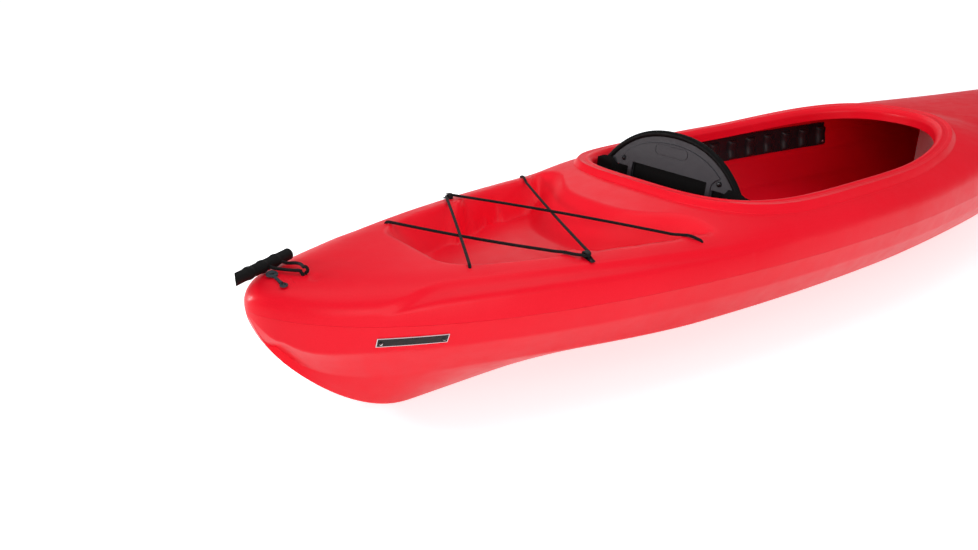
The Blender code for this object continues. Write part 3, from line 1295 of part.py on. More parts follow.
def build_seat_back(looks):
    """Plate with strap windows, thick rim, webbing, front pad and bolts, all on one pivot."""
    matrix = back_matrix()
    pivot = bpy.data.objects.new("seat_back_pivot", None)
    bpy.context.scene.collection.objects.link(pivot)
    pivot.location = matrix.translation
    bpy.context.view_layer.update()
    origin = tuple(matrix.translation)
    rear = PLATE_REAR
    front = rear + BACK_THICKNESS
    points, faces = back_prism(back_outline(), rear, front)
    plate = mesh_object("seat_back_plate", moved(points, matrix), faces, looks["charcoal"], origin, pivot)
    cheeks = []
    holes = []
    for side in (1.0, -1.0):
        outline = [(rear + 0.001, 0.016), (rear + 0.001, 0.070), (front, 0.070), (0.011, 0.020)]
        outline += [(0.011, -0.006), (0.004, -0.011), (-0.006, -0.011)]
        if side > 0:
            points, faces = prism(outline, CHEEK_INNER - 0.008, CHEEK_OUTER - 0.008)
        else:
            points, faces = prism(outline, -CHEEK_OUTER + 0.008, -CHEEK_INNER + 0.008)
        points = points[:, [0, 2, 1]]
        points = points + np.array([0.0, side * 0.008, 0.0])
        cheeks.append((moved(points, matrix), outward_faces(points, faces)))
        cheek = np.array(matrix @ Vector((0.0, side * CHEEK_INNER, 0.0)))
        holes.append(drill(cheek, (0.0, side, 0.0), PIVOT_RADIUS + DRILL_CLEARANCE, 0.02, 0.02, 12))
    boolean(plate, "join_cheeks", cheeks, "UNION")
    cuts = list(holes)
    for low, high in ((-BAR_INNER, BAR_INNER), (BAR_OUTER, WINDOW_OUTER), (-WINDOW_OUTER, -BAR_OUTER)):
        top = WINDOW_HIGH if abs(low + high) < 1e-6 else WINDOW_HIGH - 0.014
        points, faces = box_mesh((rear - 0.01, low, WINDOW_LOW), (front + 0.01, high, top))
        cuts.append((moved(points, matrix), outward_faces(points, faces)))
    recess = stadium(RECESS_HALF, RECESS_HEIGHT, RECESS_CENTRE)
    points, faces = back_prism(recess, rear - 0.01, rear + RECESS_DEPTH)
    cuts.append((moved(points, matrix), faces))
    for side in (1.0, -1.0):
        bolt = np.array(matrix @ Vector((rear, side * BOLT_SIDE, BOLT_HEIGHT)))
        backward = np.array(matrix.to_3x3() @ Vector((-1.0, 0.0, 0.0)))
        head = frame_at(bolt + backward * FIT_GAP, backward, (0.0, 1.0, 0.0))
        word = "port" if side > 0 else "starboard"
        profile = []
        for radius, height in screw_profile(BACK_THICKNESS):
            profile.append((radius * 1.5 if radius > SCREW_SHANK + 1e-6 else radius, height))
        turned(f"seat_back_bolt_{word}", profile, 8, head, looks["steel"], pivot, origin)
        cuts.append(drill(bolt, backward, SCREW_SHANK + DRILL_CLEARANCE, 0.02, 0.01, 10))
    boolean(plate, "cut_plate", cuts, "DIFFERENCE")
    outline = back_outline(RIM_RADIUS + FIT_GAP + 0.0002)
    rim_route = [np.array(matrix @ Vector(((rear + front) / 2, y, z))) for y, z in outline[2:]]
    cord_object("seat_back_rim", rim_route, RIM_RADIUS, looks["rubber"], None, 2, pivot, origin)
    band_low = (WINDOW_LOW + WINDOW_HIGH - WEBBING_HEIGHT) / 2
    webbing_low = (front + FIT_GAP, -WEBBING_HALF, band_low)
    webbing_high = (front + FIT_GAP + WEBBING_THICKNESS, WEBBING_HALF, band_low + WEBBING_HEIGHT)
    points, faces = box_mesh(webbing_low, webbing_high)
    faces = outward_faces(points, faces)
    mesh_object("seat_back_webbing", moved(points, matrix), faces, looks["webbing"], origin, pivot)
    across, along, lift, edge = cushion_grid(18, 12, 0.30, BACK_CUSHION_THICKNESS)
    upper = np.zeros(across.shape + (3,))
    lower = np.zeros_like(upper)
    base = front + FIT_GAP + WEBBING_THICKNESS + SOFT_GAP
    for index in np.ndindex(across.shape):
        y = BACK_PAD_HALF * across[index] * (1.0 - 0.12 * (1.0 + along[index]) / 2)
        z = BACK_PAD_CENTRE + BACK_PAD_REACH * along[index]
        z -= 0.030 * across[index] ** 2 * (1.0 + along[index]) / 2
        near = sum(math.exp(-(((across[index] - line) / 0.045) ** 2)) for line in (-0.34, 0.34))
        seam = 0.005 * edge[index] * near
        seam += 0.004 * edge[index] * math.exp(-(((along[index] + 0.15) / 0.06) ** 2))
        tuck = 0.006 * (1.0 - edge[index]) ** 2
        hug = 0.010 * across[index] ** 2 * edge[index]
        upper[index] = tuple(matrix @ Vector((base + tuck + 0.0035 + lift[index] - seam + hug, y, z)))
        lower[index] = tuple(matrix @ Vector((base + tuck, y, z)))
    points, faces = sandwich([upper], [lower])
    mesh_object("seat_back_cushion", points, outward_faces(points, faces), looks["pad"], origin, pivot)
    for side, word in ((1.0, "port"), (-1.0, "starboard")):
        centre = np.array([x_of(BACK_PIVOT_STATION), side * (EAR_OUTER + FIT_GAP), BACK_PIVOT_HEIGHT])
        frame = frame_at(centre, (0.0, side, 0.0), (1.0, 0.0, 0.0))
        shank = EAR_OUTER - CHEEK_INNER + 0.002
        profile = [
            (0.0, -shank), (PIVOT_RADIUS, -shank), (PIVOT_RADIUS, 0.0), (2.0 * PIVOT_RADIUS, 0.0),
            (2.0 * PIVOT_RADIUS, 0.002), (1.6 * PIVOT_RADIUS, 0.0035), (0.0, 0.0035),
        ]
        turned(f"seat_pin_{word}", profile, 14, frame, looks["steel"])


def build_foot_rails(hull_lookup, looks):
    """A ribbed rail on each side of the cockpit, following the hull's inner wall, held by two screws."""
    edges = [RAIL_AFT]
    start = RAIL_AFT + 0.03
    count = int((RAIL_FORE - start - RIB_WIDTH) / RIB_PITCH) + 1
    for rib in range(count):
        low = start + rib * RIB_PITCH
        edges += [low - 0.003, low, low + RIB_WIDTH, low + RIB_WIDTH + 0.003]
    edges.append(RAIL_FORE)
    stations = np.array(sorted(edges))
    heights = np.array([RAIL_LOW, RAIL_LOW + 0.004, RIB_TOP, RIB_TOP + 0.003, RAIL_HIGH])
    for side, word in ((1.0, "port"), (-1.0, "starboard")):
        outer = np.zeros((len(stations), len(heights), 3))
        inner = np.zeros_like(outer)
        for i, station in enumerate(stations):
            past = (station - start) % RIB_PITCH
            on_rib = start - 1e-6 <= station and (past < RIB_WIDTH + 1e-6 or past > RIB_PITCH - 1e-6)
            for j, height in enumerate(heights):
                wall = hull_or_deck_wall(hull_lookup, station, height, side)
                depth = RAIL_THICKNESS
                if on_rib and 0 < j < 3:
                    depth += RIB_DEPTH * (0.75 if j == 1 else 1.0)
                outer[i, j] = (x_of(station), side * (wall - 0.0012), height)
                inner[i, j] = (x_of(station), side * (wall - 0.0012 - depth), height)
        points, faces = sandwich([inner], [outer])
        rail = mesh_object(f"foot_rail_{word}", points, outward_faces(points, faces), looks["black"])
        cuts = []
        rail_lookup = Surface(points, faces)
        last_rib = start + (count - 1) * RIB_PITCH
        for index, station in enumerate((RAIL_AFT + RAIL_SCREW_INSET, last_rib + RIB_SCREW_INSET)):
            face, normal = rail_lookup.outward(x_of(station), RAIL_LOW + 0.017, side)
            normal = normal if normal[1] * side < 0 else -normal
            frame = frame_at(face + normal * FIT_GAP, normal, (1.0, 0.0, 0.0))
            turned(f"rail_screw_{word}_{index + 1}", screw_profile(RAIL_THICKNESS), 8, frame, looks["steel"])
            cuts.append(drill(face, normal, SCREW_SHANK + DRILL_CLEARANCE, 0.012, 0.01, 10))
        boolean(rail, f"cut_rail_{word}", cuts, "DIFFERENCE")


def hull_or_deck_wall(lookups, station, height, side):
    """Half width of the space inside the shell at a height, from the hull's wall or the deck's."""
    reach = []
    for lookup in lookups:
        place, _, _, _ = lookup.tree.ray_cast(Vector((x_of(station), 0.0, height)), Vector((0.0, side, 0.0)))
        if place is not None:
            reach.append(abs(place[1]))
    return min(reach)


def build_blocks(deck_lookup, looks):
    """Closed-cell foam blocks between the keel and the deck's underside, fore and aft."""
    floor = WALL + FIT_GAP
    for name, span, half in (
        ("float_block_stern", STERN_BLOCK, STERN_BLOCK_HALF),
        ("float_block_bow", BOW_BLOCK, BOW_BLOCK_HALF),
    ):
        roof = 1.0
        for station in np.linspace(span[0], span[1], 9):
            for y in np.linspace(-half, half, 5):
                start = Vector((x_of(station), y, 0.5 * SEAM_HEIGHT))
                place, _, _, _ = deck_lookup.tree.ray_cast(start, Vector((0.0, 0.0, 1.0)))
                roof = min(roof, place[2])
        points, faces = box_mesh((x_of(span[0]), -half, floor), (x_of(span[1]), half, roof - FIT_GAP))
        mesh_object(name, points, outward_faces(points, faces), looks["foam"])


def build_plate(hull_lookup, looks):
    """A blank metal plate riveted to the starboard flank, following its curve."""
    low, high = PLATE_STATIONS
    stations = np.linspace(low, high, 9)
    upper = np.zeros((len(stations), 3, 3))
    lower = np.zeros_like(upper)
    for i, station in enumerate(stations):
        for j, height in enumerate((0.1935, 0.203, 0.2125)):
            level = height - 0.004 * (station - low) / (high - low)
            place, normal = hull_lookup.inward(x_of(station), level, -1.0)
            lower[i, j] = place + normal * 0.0008
            upper[i, j] = place + normal * (0.0008 + PLATE_THICKNESS)
    points, faces = sandwich([upper], [lower])
    mesh_object("side_plate", points, outward_faces(points, faces), looks["steel"])
    for index, at in enumerate((0, len(stations) - 2)):
        centre = 0.5 * (upper[at, 1] + upper[at + 1, 1])
        along = upper[at + 1, 1] - upper[at, 1]
        up = upper[at, 2] - upper[at, 0]
        normal = np.cross(up, along)
        normal = normal / np.linalg.norm(normal)
        if normal[1] > 0:
            normal = -normal
        frame = frame_at(centre + normal * 0.0006, normal, along)
        profile = [(0.0, 0.0), (0.0034, 0.0), (0.0028, 0.0011), (0.0014, 0.0017), (0.0, 0.0018)]
        turned(f"plate_rivet_{index + 1}", profile, 8, frame, looks["steel"])


def main():
    clear_scene()
    looks = {
        "shell": material("shell_red", (0.78, 0.022, 0.035), 0.38),
        "black": material("moulded_black", (0.018, 0.018, 0.019), 0.5),
        "charcoal": material("plate_charcoal", (0.045, 0.047, 0.052), 0.55),
        "rubber": material("rim_rubber", (0.012, 0.012, 0.013), 0.75),
        "slate": material("plug_rubber", (0.05, 0.065, 0.075), 0.7),
        "cord": material("cord_black", (0.015, 0.015, 0.015), 0.8),
        "webbing": material("webbing_black", (0.012, 0.012, 0.012), 0.9),
        "pad": material("pad_fabric", (0.03, 0.03, 0.032), 0.95),
        "steel": material("screw_steel", (0.62, 0.63, 0.64), 0.3, 1.0),
        "foam": material("block_foam", (0.82, 0.82, 0.80), 0.9),
    }
    hull, deck, hull_lookup, deck_lookup = build_shell(looks)
    frames, holes = build_hooks(deck_lookup, looks)
    holes += build_shock_cords(deck_lookup, frames, looks)
    holes.append(build_handle("stern", False, deck_lookup, looks))
    holes.append(build_handle("bow", True, deck_lookup, looks))
    hinge, plug_holes = build_drain_plug(deck_lookup, looks)
    holes += plug_holes
    boolean(deck, "cut_deck_holes", holes, "DIFFERENCE")
    pan, pan_lookup = build_seat_pan(hull_lookup, looks)
    build_pan_cushion(pan_lookup, looks)
    build_seat_back(looks)
    build_foot_rails((hull_lookup, deck_lookup), looks)
    build_blocks(deck_lookup, looks)
    build_plate(hull_lookup, looks)


main()
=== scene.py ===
import math

import bmesh
import bpy
import numpy as np
from mathutils import Matrix, Vector
from mathutils.bvhtree import BVHTree

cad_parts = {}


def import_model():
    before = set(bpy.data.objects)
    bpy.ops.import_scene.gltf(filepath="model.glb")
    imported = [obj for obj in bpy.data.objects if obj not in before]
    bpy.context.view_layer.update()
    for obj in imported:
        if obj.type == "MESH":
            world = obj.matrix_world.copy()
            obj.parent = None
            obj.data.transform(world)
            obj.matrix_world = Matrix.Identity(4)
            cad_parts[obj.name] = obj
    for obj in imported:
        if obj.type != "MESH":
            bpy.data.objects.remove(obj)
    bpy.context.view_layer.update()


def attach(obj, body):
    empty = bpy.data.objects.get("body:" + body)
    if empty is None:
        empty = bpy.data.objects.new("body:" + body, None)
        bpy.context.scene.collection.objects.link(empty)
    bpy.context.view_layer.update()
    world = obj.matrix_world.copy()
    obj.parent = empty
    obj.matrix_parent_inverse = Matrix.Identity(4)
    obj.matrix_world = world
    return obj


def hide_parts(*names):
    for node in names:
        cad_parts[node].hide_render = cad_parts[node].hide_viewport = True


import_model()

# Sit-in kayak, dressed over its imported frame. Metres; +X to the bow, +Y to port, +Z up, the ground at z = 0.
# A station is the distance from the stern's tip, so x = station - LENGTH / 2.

UP = np.array([0.0, 0.0, 1.0])

# Shell
LENGTH = 3.05
BEAM = 0.74
WIDEST_STATION = 1.45
WALL = 0.005
FIT_GAP = 0.0003
STERN_FULLNESS = 0.576
BOW_POWER = 1.6
BOW_FULLNESS = 0.62

# Seam between the hull and the deck
SEAM_HEIGHT = 0.220
SEAM_STERN_RISE = 0.038
SEAM_STERN_FADE = 0.22
SEAM_BOW_RISE = 0.055

# Deck
DECK_HEIGHT = 0.303
FOREDECK_HEIGHT = 0.345
NOSE_LENGTH = 0.07
NOSE_POWER = 2.4
END_SQUARENESS = 2.5
MID_SQUARENESS = 4.3
CREASE_START = 0.15
CREASE_PEAK = 0.30
CREASE_END = 1.15
CREASE_SHARE = 0.22
CREASE_DEPTH = 0.006
CREASE_RUN = 0.30

# Cockpit opening, its raised apron and its coaming
OPENING_AFT = 0.933
OPENING_WIDE = 1.36
OPENING_FORE = 1.98
OPENING_HALF = 0.275
OPENING_AFT_POWER = 4.0
OPENING_FORE_POWER = 2.4
APRON_RISE = 0.017
APRON_FLAT = 0.03
APRON_REACH = 0.16
COAMING_WIDTH = 0.036
COAMING_RISE = 0.013
COAMING_ROLL = 0.014
COAMING_DISH = 0.0025
COAMING_DISH_PLACE = 0.58 * COAMING_WIDTH
FLANGE_DEPTH = 0.028
FLANGE_OUTER = -0.0015
COAMING_REACH = 0.050
# Two beads and a groove round the coaming: (distance outside the opening, width, rise)
COAMING_BEADS = ((0.0215, 0.0019, 0.0010), (0.0345, 0.0019, 0.0011), (0.0455, 0.0024, -0.0011))

# Mesh of the shell: the first stations from each tip, and the rows between which the cockpit's patch lies
NOSE_STATIONS = np.array([0.0, 0.001, 0.003, 0.006, 0.010, 0.015, 0.022, 0.030, 0.040, 0.052, 0.065, 0.08])
PATCH_AFT = 0.822
PATCH_FORE = 2.05
PATCH_AFT_TURN = math.radians(50)
PATCH_FORE_TURN = math.radians(142)
PATCH_SIDE_STEPS = 96
BEND_ROUNDS = 14

# Tank well in the stern deck
WELL_AFT = 0.322
WELL_FORE = 0.787
WELL_FORE_CURVE = 0.072
WELL_FLOOR = 0.225
WELL_HALF_AFT = BEAM / 2 - 0.245
WELL_HALF_FORE = BEAM / 2 - 0.108
WELL_SIDE_RUN = 0.045
WELL_AFT_RUN = 0.085
WELL_FORE_RUN = 0.095
WELL_WIDEST = 0.81
WELL_CORNER_SIDE = 0.18
GUSSET_PINCH = 0.014
GUSSET_WIDTH = 0.017
POCKET_STATION = 0.65
POCKET_SIDE = 0.165
POCKET_LENGTH = 0.036
POCKET_WIDTH = 0.016
POCKET_DEPTH = 0.012

# Hull
CHINE_HEIGHT = 0.101
CHINE_STERN_RISE = 0.08
LOWER_LINE_HEIGHT = 0.170
STEM_TOP = 0.25
STERN_ROCKER = 0.29
BOW_ROCKER = 0.60
SKEG_HALF = 0.036
STEM_HALF = 0.010
KEEL_EXTRA = 0.055
CORNER_EASE = 0.016

# Shock cord and its fittings
CORD_RADIUS = 0.003
CORD_AFT_STATION = 0.354
CORD_AFT_SIDE = BEAM / 2 - 0.220
HOOK_STATION = 0.560
HOOK_SIDE = BEAM / 2 - 0.148
CORD_FORE_STATION = 0.809
CORD_FORE_SIDE = BEAM / 2 - 0.085
CORD_BEND = 0.0075
CORD_SAG = 0.0037
CORD_LIFT = 0.0006
CORD_SINK = 0.003
CORD_STEP = 0.017
CORD_TAIL = 0.018
HOOK_SWEEP = math.radians(68)
HOOK_WIDTH = 0.010
HOOK_RIM = 0.0011
HOOK_FOOT = 0.003
HOOK_HEIGHT = 0.0128
HOOK_TAIL = 0.024

# Carry handles
HANDLE_HOLE_STATION = 0.1015
HANDLE_HOLE_SIDE = -0.018
DENT_PLACE = (0.1115, -0.037)
DENT_HALF = (0.011, 0.013)
DENT_DEPTH = 0.0022
LIP_PLACE = (0.0737, -0.0253)
LIP_HALF = (0.0014, 0.016)
LIP_RISE = 0.0009
GRIP_LENGTH = 0.137
GRIP_RADIUS = 0.0105
GRIP_BORE = 0.0080
GRIP_SPARE = 0.009
GRIP_NICK = 0.0036
GRIP_RIB = 0.0014
GRIP_RINGS = (-0.036, -0.003, 0.030)
GRIP_STATION = 0.0511
GRIP_SIDE = 0.0393
GRIP_TURN = math.radians(26.7)
STRAND_EXITS = (0.007, 0.036)
HANDLE_CORD_RADIUS = 0.003
STRAND_SPACING = 0.0068
STRAND_LEAVE = 0.004
STRAND_LEAD = 0.010
STRAND_SWAYS = (-0.001, 0.008)
STRAND_LIFT = 0.0008
STRAND_ROOM = 0.0006
LANDING_DEPTH = 0.0008
RING_RADIUS = 0.0054
RING_LIFT = 0.0010
RING_TURNS = (np.radians([190.0, 225.0, 255.0]), np.radians([130.0, 90.0, 50.0, 10.0, -35.0, -80.0]))

# Drain plug
PLUG_STATION = 0.055
PLUG_SIDE = 0.010
ANCHOR_SIDE = -0.039
PLUG_HEAD_RADIUS = 0.0105
PLUG_HEAD_HEIGHT = 0.0045
PLUG_STEM_RADIUS = 0.0052
PLUG_STEM_LENGTH = 0.010
STRAP_WAIST = 0.22
STRAP_WIDTH = 0.007
STRAP_THICKNESS = 0.0025
ANCHOR_RADIUS = 0.009
ANCHOR_HEIGHT = 0.0035

# Seat
PAN_AFT = 0.981
PAN_FORE = 1.385
PAN_HALF = 0.205
PAN_WALL = 0.004
PAN_DISH = 0.062
PAN_FRONT_RISE = 0.022
BOLSTER_HEIGHT = 0.122
FOOT_WIDTH = 0.030
FLOOR_GAP = 0.0008
PAN_CUSHION_THICKNESS = 0.026
PAN_CUSHION_HALF = 0.145
SOFT_GAP = 0.0004
SEW_WIDTH = 0.0042
PAD_TRAVEL = 0.004
TRAVEL_SHARE = 0.9
CROWN_SHARE = 0.9
PAD_EDGE = 0.0028
PAD_TUCK = 0.006
BACK_PIVOT_STATION = 1.006
BACK_PIVOT_HEIGHT = 0.135
BACK_LEAN = math.radians(-8.6)
BACK_HALF = 0.2445
BACK_POWER = 2.22
BACK_FOOT = 0.012
BACK_FOOT_HALF = 0.135
BACK_SHOULDER = 0.10
BACK_TOP = 0.2725
BACK_THICKNESS = 0.005
RIM_RADIUS = 0.0075
BACK_CUSHION_THICKNESS = 0.034
BACK_PAD_HALF = 0.180
BACK_PAD_CENTRE = 0.152
BACK_PAD_REACH = 0.100
WINDOW_LOW = 0.125
WINDOW_HIGH = 0.198
BAR_INNER = 0.114
BAR_OUTER = 0.128
WINDOW_OUTER = 0.180
RECESS_HALF = 0.050
RECESS_HEIGHT = 0.028
RECESS_CENTRE = 0.243
PANEL_RISE = 0.0024
PANEL_SIDE = 0.149
PANEL_INSET = 0.012
PLATE_GROWTH = 0.003
OVAL_INSET = 0.0028
PANEL_FOOT = [
    (0.1265, 0.088), (0.1265, 0.190), (0.1285, 0.197), (0.1330, 0.203), (0.1400, 0.2075), (0.1458, 0.2108),
]
SIDE_WINDOW_HIGH = WINDOW_HIGH - 0.014
WEBBING_HEIGHT = 0.050
WEBBING_THICKNESS = 0.002
WEBBING_REACH = 0.237
PIVOT_RADIUS = 0.004
EAR_INNER = 0.1455
EAR_OUTER = 0.1515
CHEEK_INNER = 0.1380
CHEEK_OUTER = 0.1440
PLATE_REAR = -0.016

# Foot rails
RAIL_AFT = 1.49
RAIL_FORE = 2.11
RAIL_LOW = 0.187
RAIL_HIGH = 0.262
RIB_TOP = 0.246
RAIL_THICKNESS = 0.006
RIB_DEPTH = 0.013
RIB_PITCH = 0.08
RIB_WIDTH = 0.028
RIB_START = 0.03
RAIL_GAP = 0.0012

# Blank metal plate on the starboard flank, and the play of a drilled hole
PLATE_STATIONS = (0.168, 0.282)
PLATE_HEIGHTS = (0.1935, 0.2125)
PLATE_FALL = 0.004
PLATE_LIFT = 0.0007
PLATE_DEPTH = 0.0010
PLATE_BORDER = 0.0013
DRILL_CLEARANCE = 0.0003

# Camera and stage
CAMERA_STATION = -0.412
CAMERA_SIDE = -1.258
CAMERA_HEIGHT = 0.840
CAMERA_TURN = math.radians(-36.085)
CAMERA_TILT = math.radians(22.393)
CAMERA_SENSOR = 36.0
CAMERA_LENS = 30.4
FLOOR_HALF = 20.0
FLOOR_DROP = 0.0005
FLOOR_GLOW = 0.64

# Corners of the hull's section, as shares of the way from the seam (0) to the middle of the keel (1)
SEAM_SHARE = 0.0
LINE_SHARE = 0.25
CHINE_SHARE = 0.50
KEEL_SHARE = 0.80


def smoothstep(low, high, value):
    """0 under low and 1 over high, joined by the cubic t * t * (3 - 2 t)."""
    t = np.clip((value - low) / (high - low), 0.0, 1.0)
    return t * t * (3.0 - 2.0 * t)


def soft_min(a, b, width):
    """The smaller of two values, with a parabola over this width where they meet."""
    h = np.clip(0.5 + 0.5 * (b - a) / width, 0.0, 1.0)
    return b + (a - b) * h - width * h * (1.0 - h)


def soft_max(a, b, width):
    """The larger of two values, eased in the same way."""
    return -soft_min(-a, -b, width)


def soft_ramp(value, width):
    """0 under 0 and 1 over 1, straight between, with both corners rounded over this width."""

    def corner(t):
        """0, then a parabola over this width on each side of 0, then t."""
        return np.where(t < -width, 0.0, np.where(t > width, t, (t + width) ** 2 / (4.0 * width)))

    return corner(value) - corner(value - 1.0)


def half_beam(station):
    """Half the width of the shell at its seam."""
    aft = np.clip(1.0 - station / WIDEST_STATION, 0.0, 1.0)
    fore = np.clip((station - WIDEST_STATION) / (LENGTH - WIDEST_STATION), 0.0, 1.0)
    stern = np.maximum(1.0 - aft**2, 0.0) ** STERN_FULLNESS
    bow = np.maximum(1.0 - fore**BOW_POWER, 0.0) ** BOW_FULLNESS
    return BEAM / 2 * np.where(station < WIDEST_STATION, stern, bow)


def seam_height(station):
    """Height of the seam: level amidships, up to the stern by an exponential and to the bow by a power."""
    fore = np.clip((station - WIDEST_STATION) / (LENGTH - WIDEST_STATION), 0.0, 1.0)
    return SEAM_HEIGHT + SEAM_STERN_RISE * np.exp(-station / SEAM_STERN_FADE) + SEAM_BOW_RISE * fore**2.5


def crown_rise(station):
    """Height of the deck's middle over the seam, falling to nothing round each nose."""
    crown = DECK_HEIGHT + (FOREDECK_HEIGHT - DECK_HEIGHT) * smoothstep(1.5, 2.2, station)
    to_tip = np.minimum(station, LENGTH - station)
    nose = 1.0 - np.clip(1.0 - to_tip / NOSE_LENGTH, 0.0, 1.0) ** NOSE_POWER
    return (crown - seam_height(station)) * nose ** (1.0 / NOSE_POWER)


def squareness(station):
    """Power of the deck's section: 2 is an ellipse, more is squarer."""
    gain = MID_SQUARENESS - END_SQUARENESS
    return END_SQUARENESS + gain * smoothstep(0.0, 0.5, station) - 0.9 * gain * smoothstep(1.7, 2.6, station)


def crease_share(station):
    """Where the styling crease runs on the shoulder, as a share of the half beam; 1 where there is none."""
    rise = smoothstep(CREASE_START, CREASE_PEAK - 0.01, station)
    fall = np.clip(1.0 - (station - CREASE_PEAK) / (CREASE_END - CREASE_PEAK), 0.0, 1.0) ** 1.3
    return 1.0 - CREASE_SHARE * np.where(station < CREASE_PEAK, rise, fall)


def opening_distance(station, y):
    """Distance outside the cockpit opening's edge, to first order; negative inside."""
    aft = station < OPENING_WIDE
    reach = np.where(aft, OPENING_WIDE - OPENING_AFT, OPENING_FORE - OPENING_WIDE)
    power = np.where(aft, OPENING_AFT_POWER, OPENING_FORE_POWER)
    along = np.abs(station - OPENING_WIDE) / reach
    across = np.abs(y) / OPENING_HALF
    size = np.maximum(along**power + across**power, 1e-9) ** (1.0 / power)
    slope_along = size ** (1.0 - power) * along ** (power - 1.0) / reach
    slope_across = size ** (1.0 - power) * across ** (power - 1.0) / OPENING_HALF
    return (size - 1.0) / np.maximum(np.hypot(slope_along, slope_across), 1e-6)


def well_half(station):
    """Half the width of the tank well at its lip, pinched where the cords pass over its wall."""
    share = np.clip((station - WELL_AFT) / (WELL_WIDEST - WELL_AFT), 0.0, 1.3) ** 0.8
    half = WELL_HALF_AFT + (WELL_HALF_FORE - WELL_HALF_AFT) * share
    for centre in (HOOK_STATION, CORD_FORE_STATION):
        half = half - GUSSET_PINCH * np.exp(-(((station - centre) / GUSSET_WIDTH) ** 2))
    return half


def front_shift(y):
    """How far the well's front lip bends to the bow away from the middle; it levels off at the corners."""
    return WELL_FORE_CURVE * soft_min(np.abs(y) / WELL_CORNER_SIDE, 1.03, 0.25) ** 3


def well_front(y):
    """Station of the well's front lip."""
    return WELL_FORE + front_shift(y)


def well_share(station, y):
    """0 on the deck, 1 on the well's floor: a soft minimum of the distances to its four walls."""
    side = (well_half(station) - np.abs(y)) / WELL_SIDE_RUN
    aft = (station - WELL_AFT) / WELL_AFT_RUN
    fore = (well_front(y) - station) / WELL_FORE_RUN
    return soft_ramp(soft_min(soft_min(side, aft, 0.75), fore, 0.35), 0.09)


def pocket(station, y):
    """Oval finger pocket at the foot of each side wall of the well."""
    along = (station - POCKET_STATION) / POCKET_LENGTH
    across = (np.abs(y) - POCKET_SIDE) / POCKET_WIDTH
    return POCKET_DEPTH * np.exp(-((along**2 + across**2) ** 2))


def coaming(distance):
    """Height of the coaming over the apron: an inner roll, a shallow dish and an outer edge."""
    inner = soft_ramp((distance + 0.004) / COAMING_ROLL, 0.3)
    outer = 1.0 - soft_ramp((distance - COAMING_WIDTH) / 0.010, 0.3)
    dish = COAMING_DISH * np.exp(-(((distance - COAMING_DISH_PLACE) / 0.006) ** 2))
    return COAMING_RISE * np.minimum(inner, outer) - dish


def plain_deck(station, y):
    """Height of the deck's upper surface without its well."""
    beam = np.maximum(half_beam(station), 1e-6)
    share = np.clip(np.abs(y) / beam, 0.0, 1.0)
    power = squareness(station)
    section = np.maximum(1.0 - share**power, 0.0) ** (1.0 / power)
    edge = crease_share(station)
    past = np.clip((share - edge) / np.maximum(1.0 - edge, 1e-4), 0.0, 1.0)
    cut = CREASE_DEPTH * smoothstep(0.0, 0.05, 1.0 - edge) * soft_ramp(past / CREASE_RUN, 0.25)
    cut = cut * (1.0 - smoothstep(0.4, 1.0, past))
    distance = opening_distance(station, y)
    apron = APRON_RISE * (1.0 - smoothstep(APRON_FLAT, APRON_REACH, distance))
    height = seam_height(station) + crown_rise(station) * section - cut
    return height + (apron + coaming(distance)) * (1.0 - share**24)


def deck_height(station, y):
    """Height of the deck's upper surface."""
    height = plain_deck(station, y)
    sunk = well_share(station, y)
    return height + (WELL_FLOOR - height) * sunk - pocket(station, y) * sunk


def rocker(station):
    """Height of the keel over the ground: nothing along the middle, rising into a stem at each end."""
    aft = np.clip(1.0 - station / STERN_ROCKER, 0.0, 1.0)
    fore = np.clip(1.0 - (LENGTH - station) / BOW_ROCKER, 0.0, 1.0)
    end = np.maximum(aft, fore)
    return STEM_TOP * (0.85 * end**2 + 0.15 * end**17)


def keel_half(station):
    """Half the width of the flat along the keel; at the stern it is the foot of the skeg."""
    skeg = smoothstep(0.05, 0.27, station) * (1.0 - smoothstep(2.6, 3.0, station))
    middle = KEEL_EXTRA * smoothstep(0.65, 1.2, station) * (1.0 - smoothstep(1.9, 2.7, station))
    half = STEM_HALF + (SKEG_HALF - STEM_HALF) * skeg + middle
    return np.minimum(half, 0.5 * half_beam(station))


def hull_corners(station):
    """(y, z) of the section's corners: seam, lower line, chine, edge of the keel's flat, middle."""
    beam = half_beam(station)
    top = seam_height(station)
    keel = rocker(station)
    flat = keel_half(station)
    toward_bow = smoothstep(2.0, 3.0, station)
    share = 0.65 * (1.0 - np.exp(-np.maximum(station - 0.05, 0.0) / 0.10))
    share = share + 0.17 * smoothstep(0.25, 0.85, station) - 0.30 * toward_bow
    chine_y = np.maximum(beam * share, 1.02 * flat)
    chine_z = CHINE_HEIGHT + CHINE_STERN_RISE * np.exp(-np.maximum(station - 0.043, 0.0) / 0.045)
    chine_z = soft_max(chine_z + 0.05 * toward_bow, keel + 0.05 * (top - keel), 0.02)
    chine_z = np.minimum(chine_z, keel + 0.60 * (top - keel))
    line_y = beam * (0.96 - 0.2 * np.exp(-station / 0.35) - 0.15 * smoothstep(2.3, 3.0, station))
    line_y = np.maximum(line_y, chine_y)
    line_z = LOWER_LINE_HEIGHT + 0.018 * np.exp(-station / 0.25) + 0.05 * toward_bow
    line_z = soft_max(line_z, chine_z + 0.35 * (top - chine_z), 0.02)
    line_z = np.minimum(line_z, keel + 0.80 * (top - keel))
    zero = np.zeros_like(beam)
    return np.stack([beam, line_y, chine_y, flat, zero]), np.stack([top, line_z, chine_z, keel, keel])


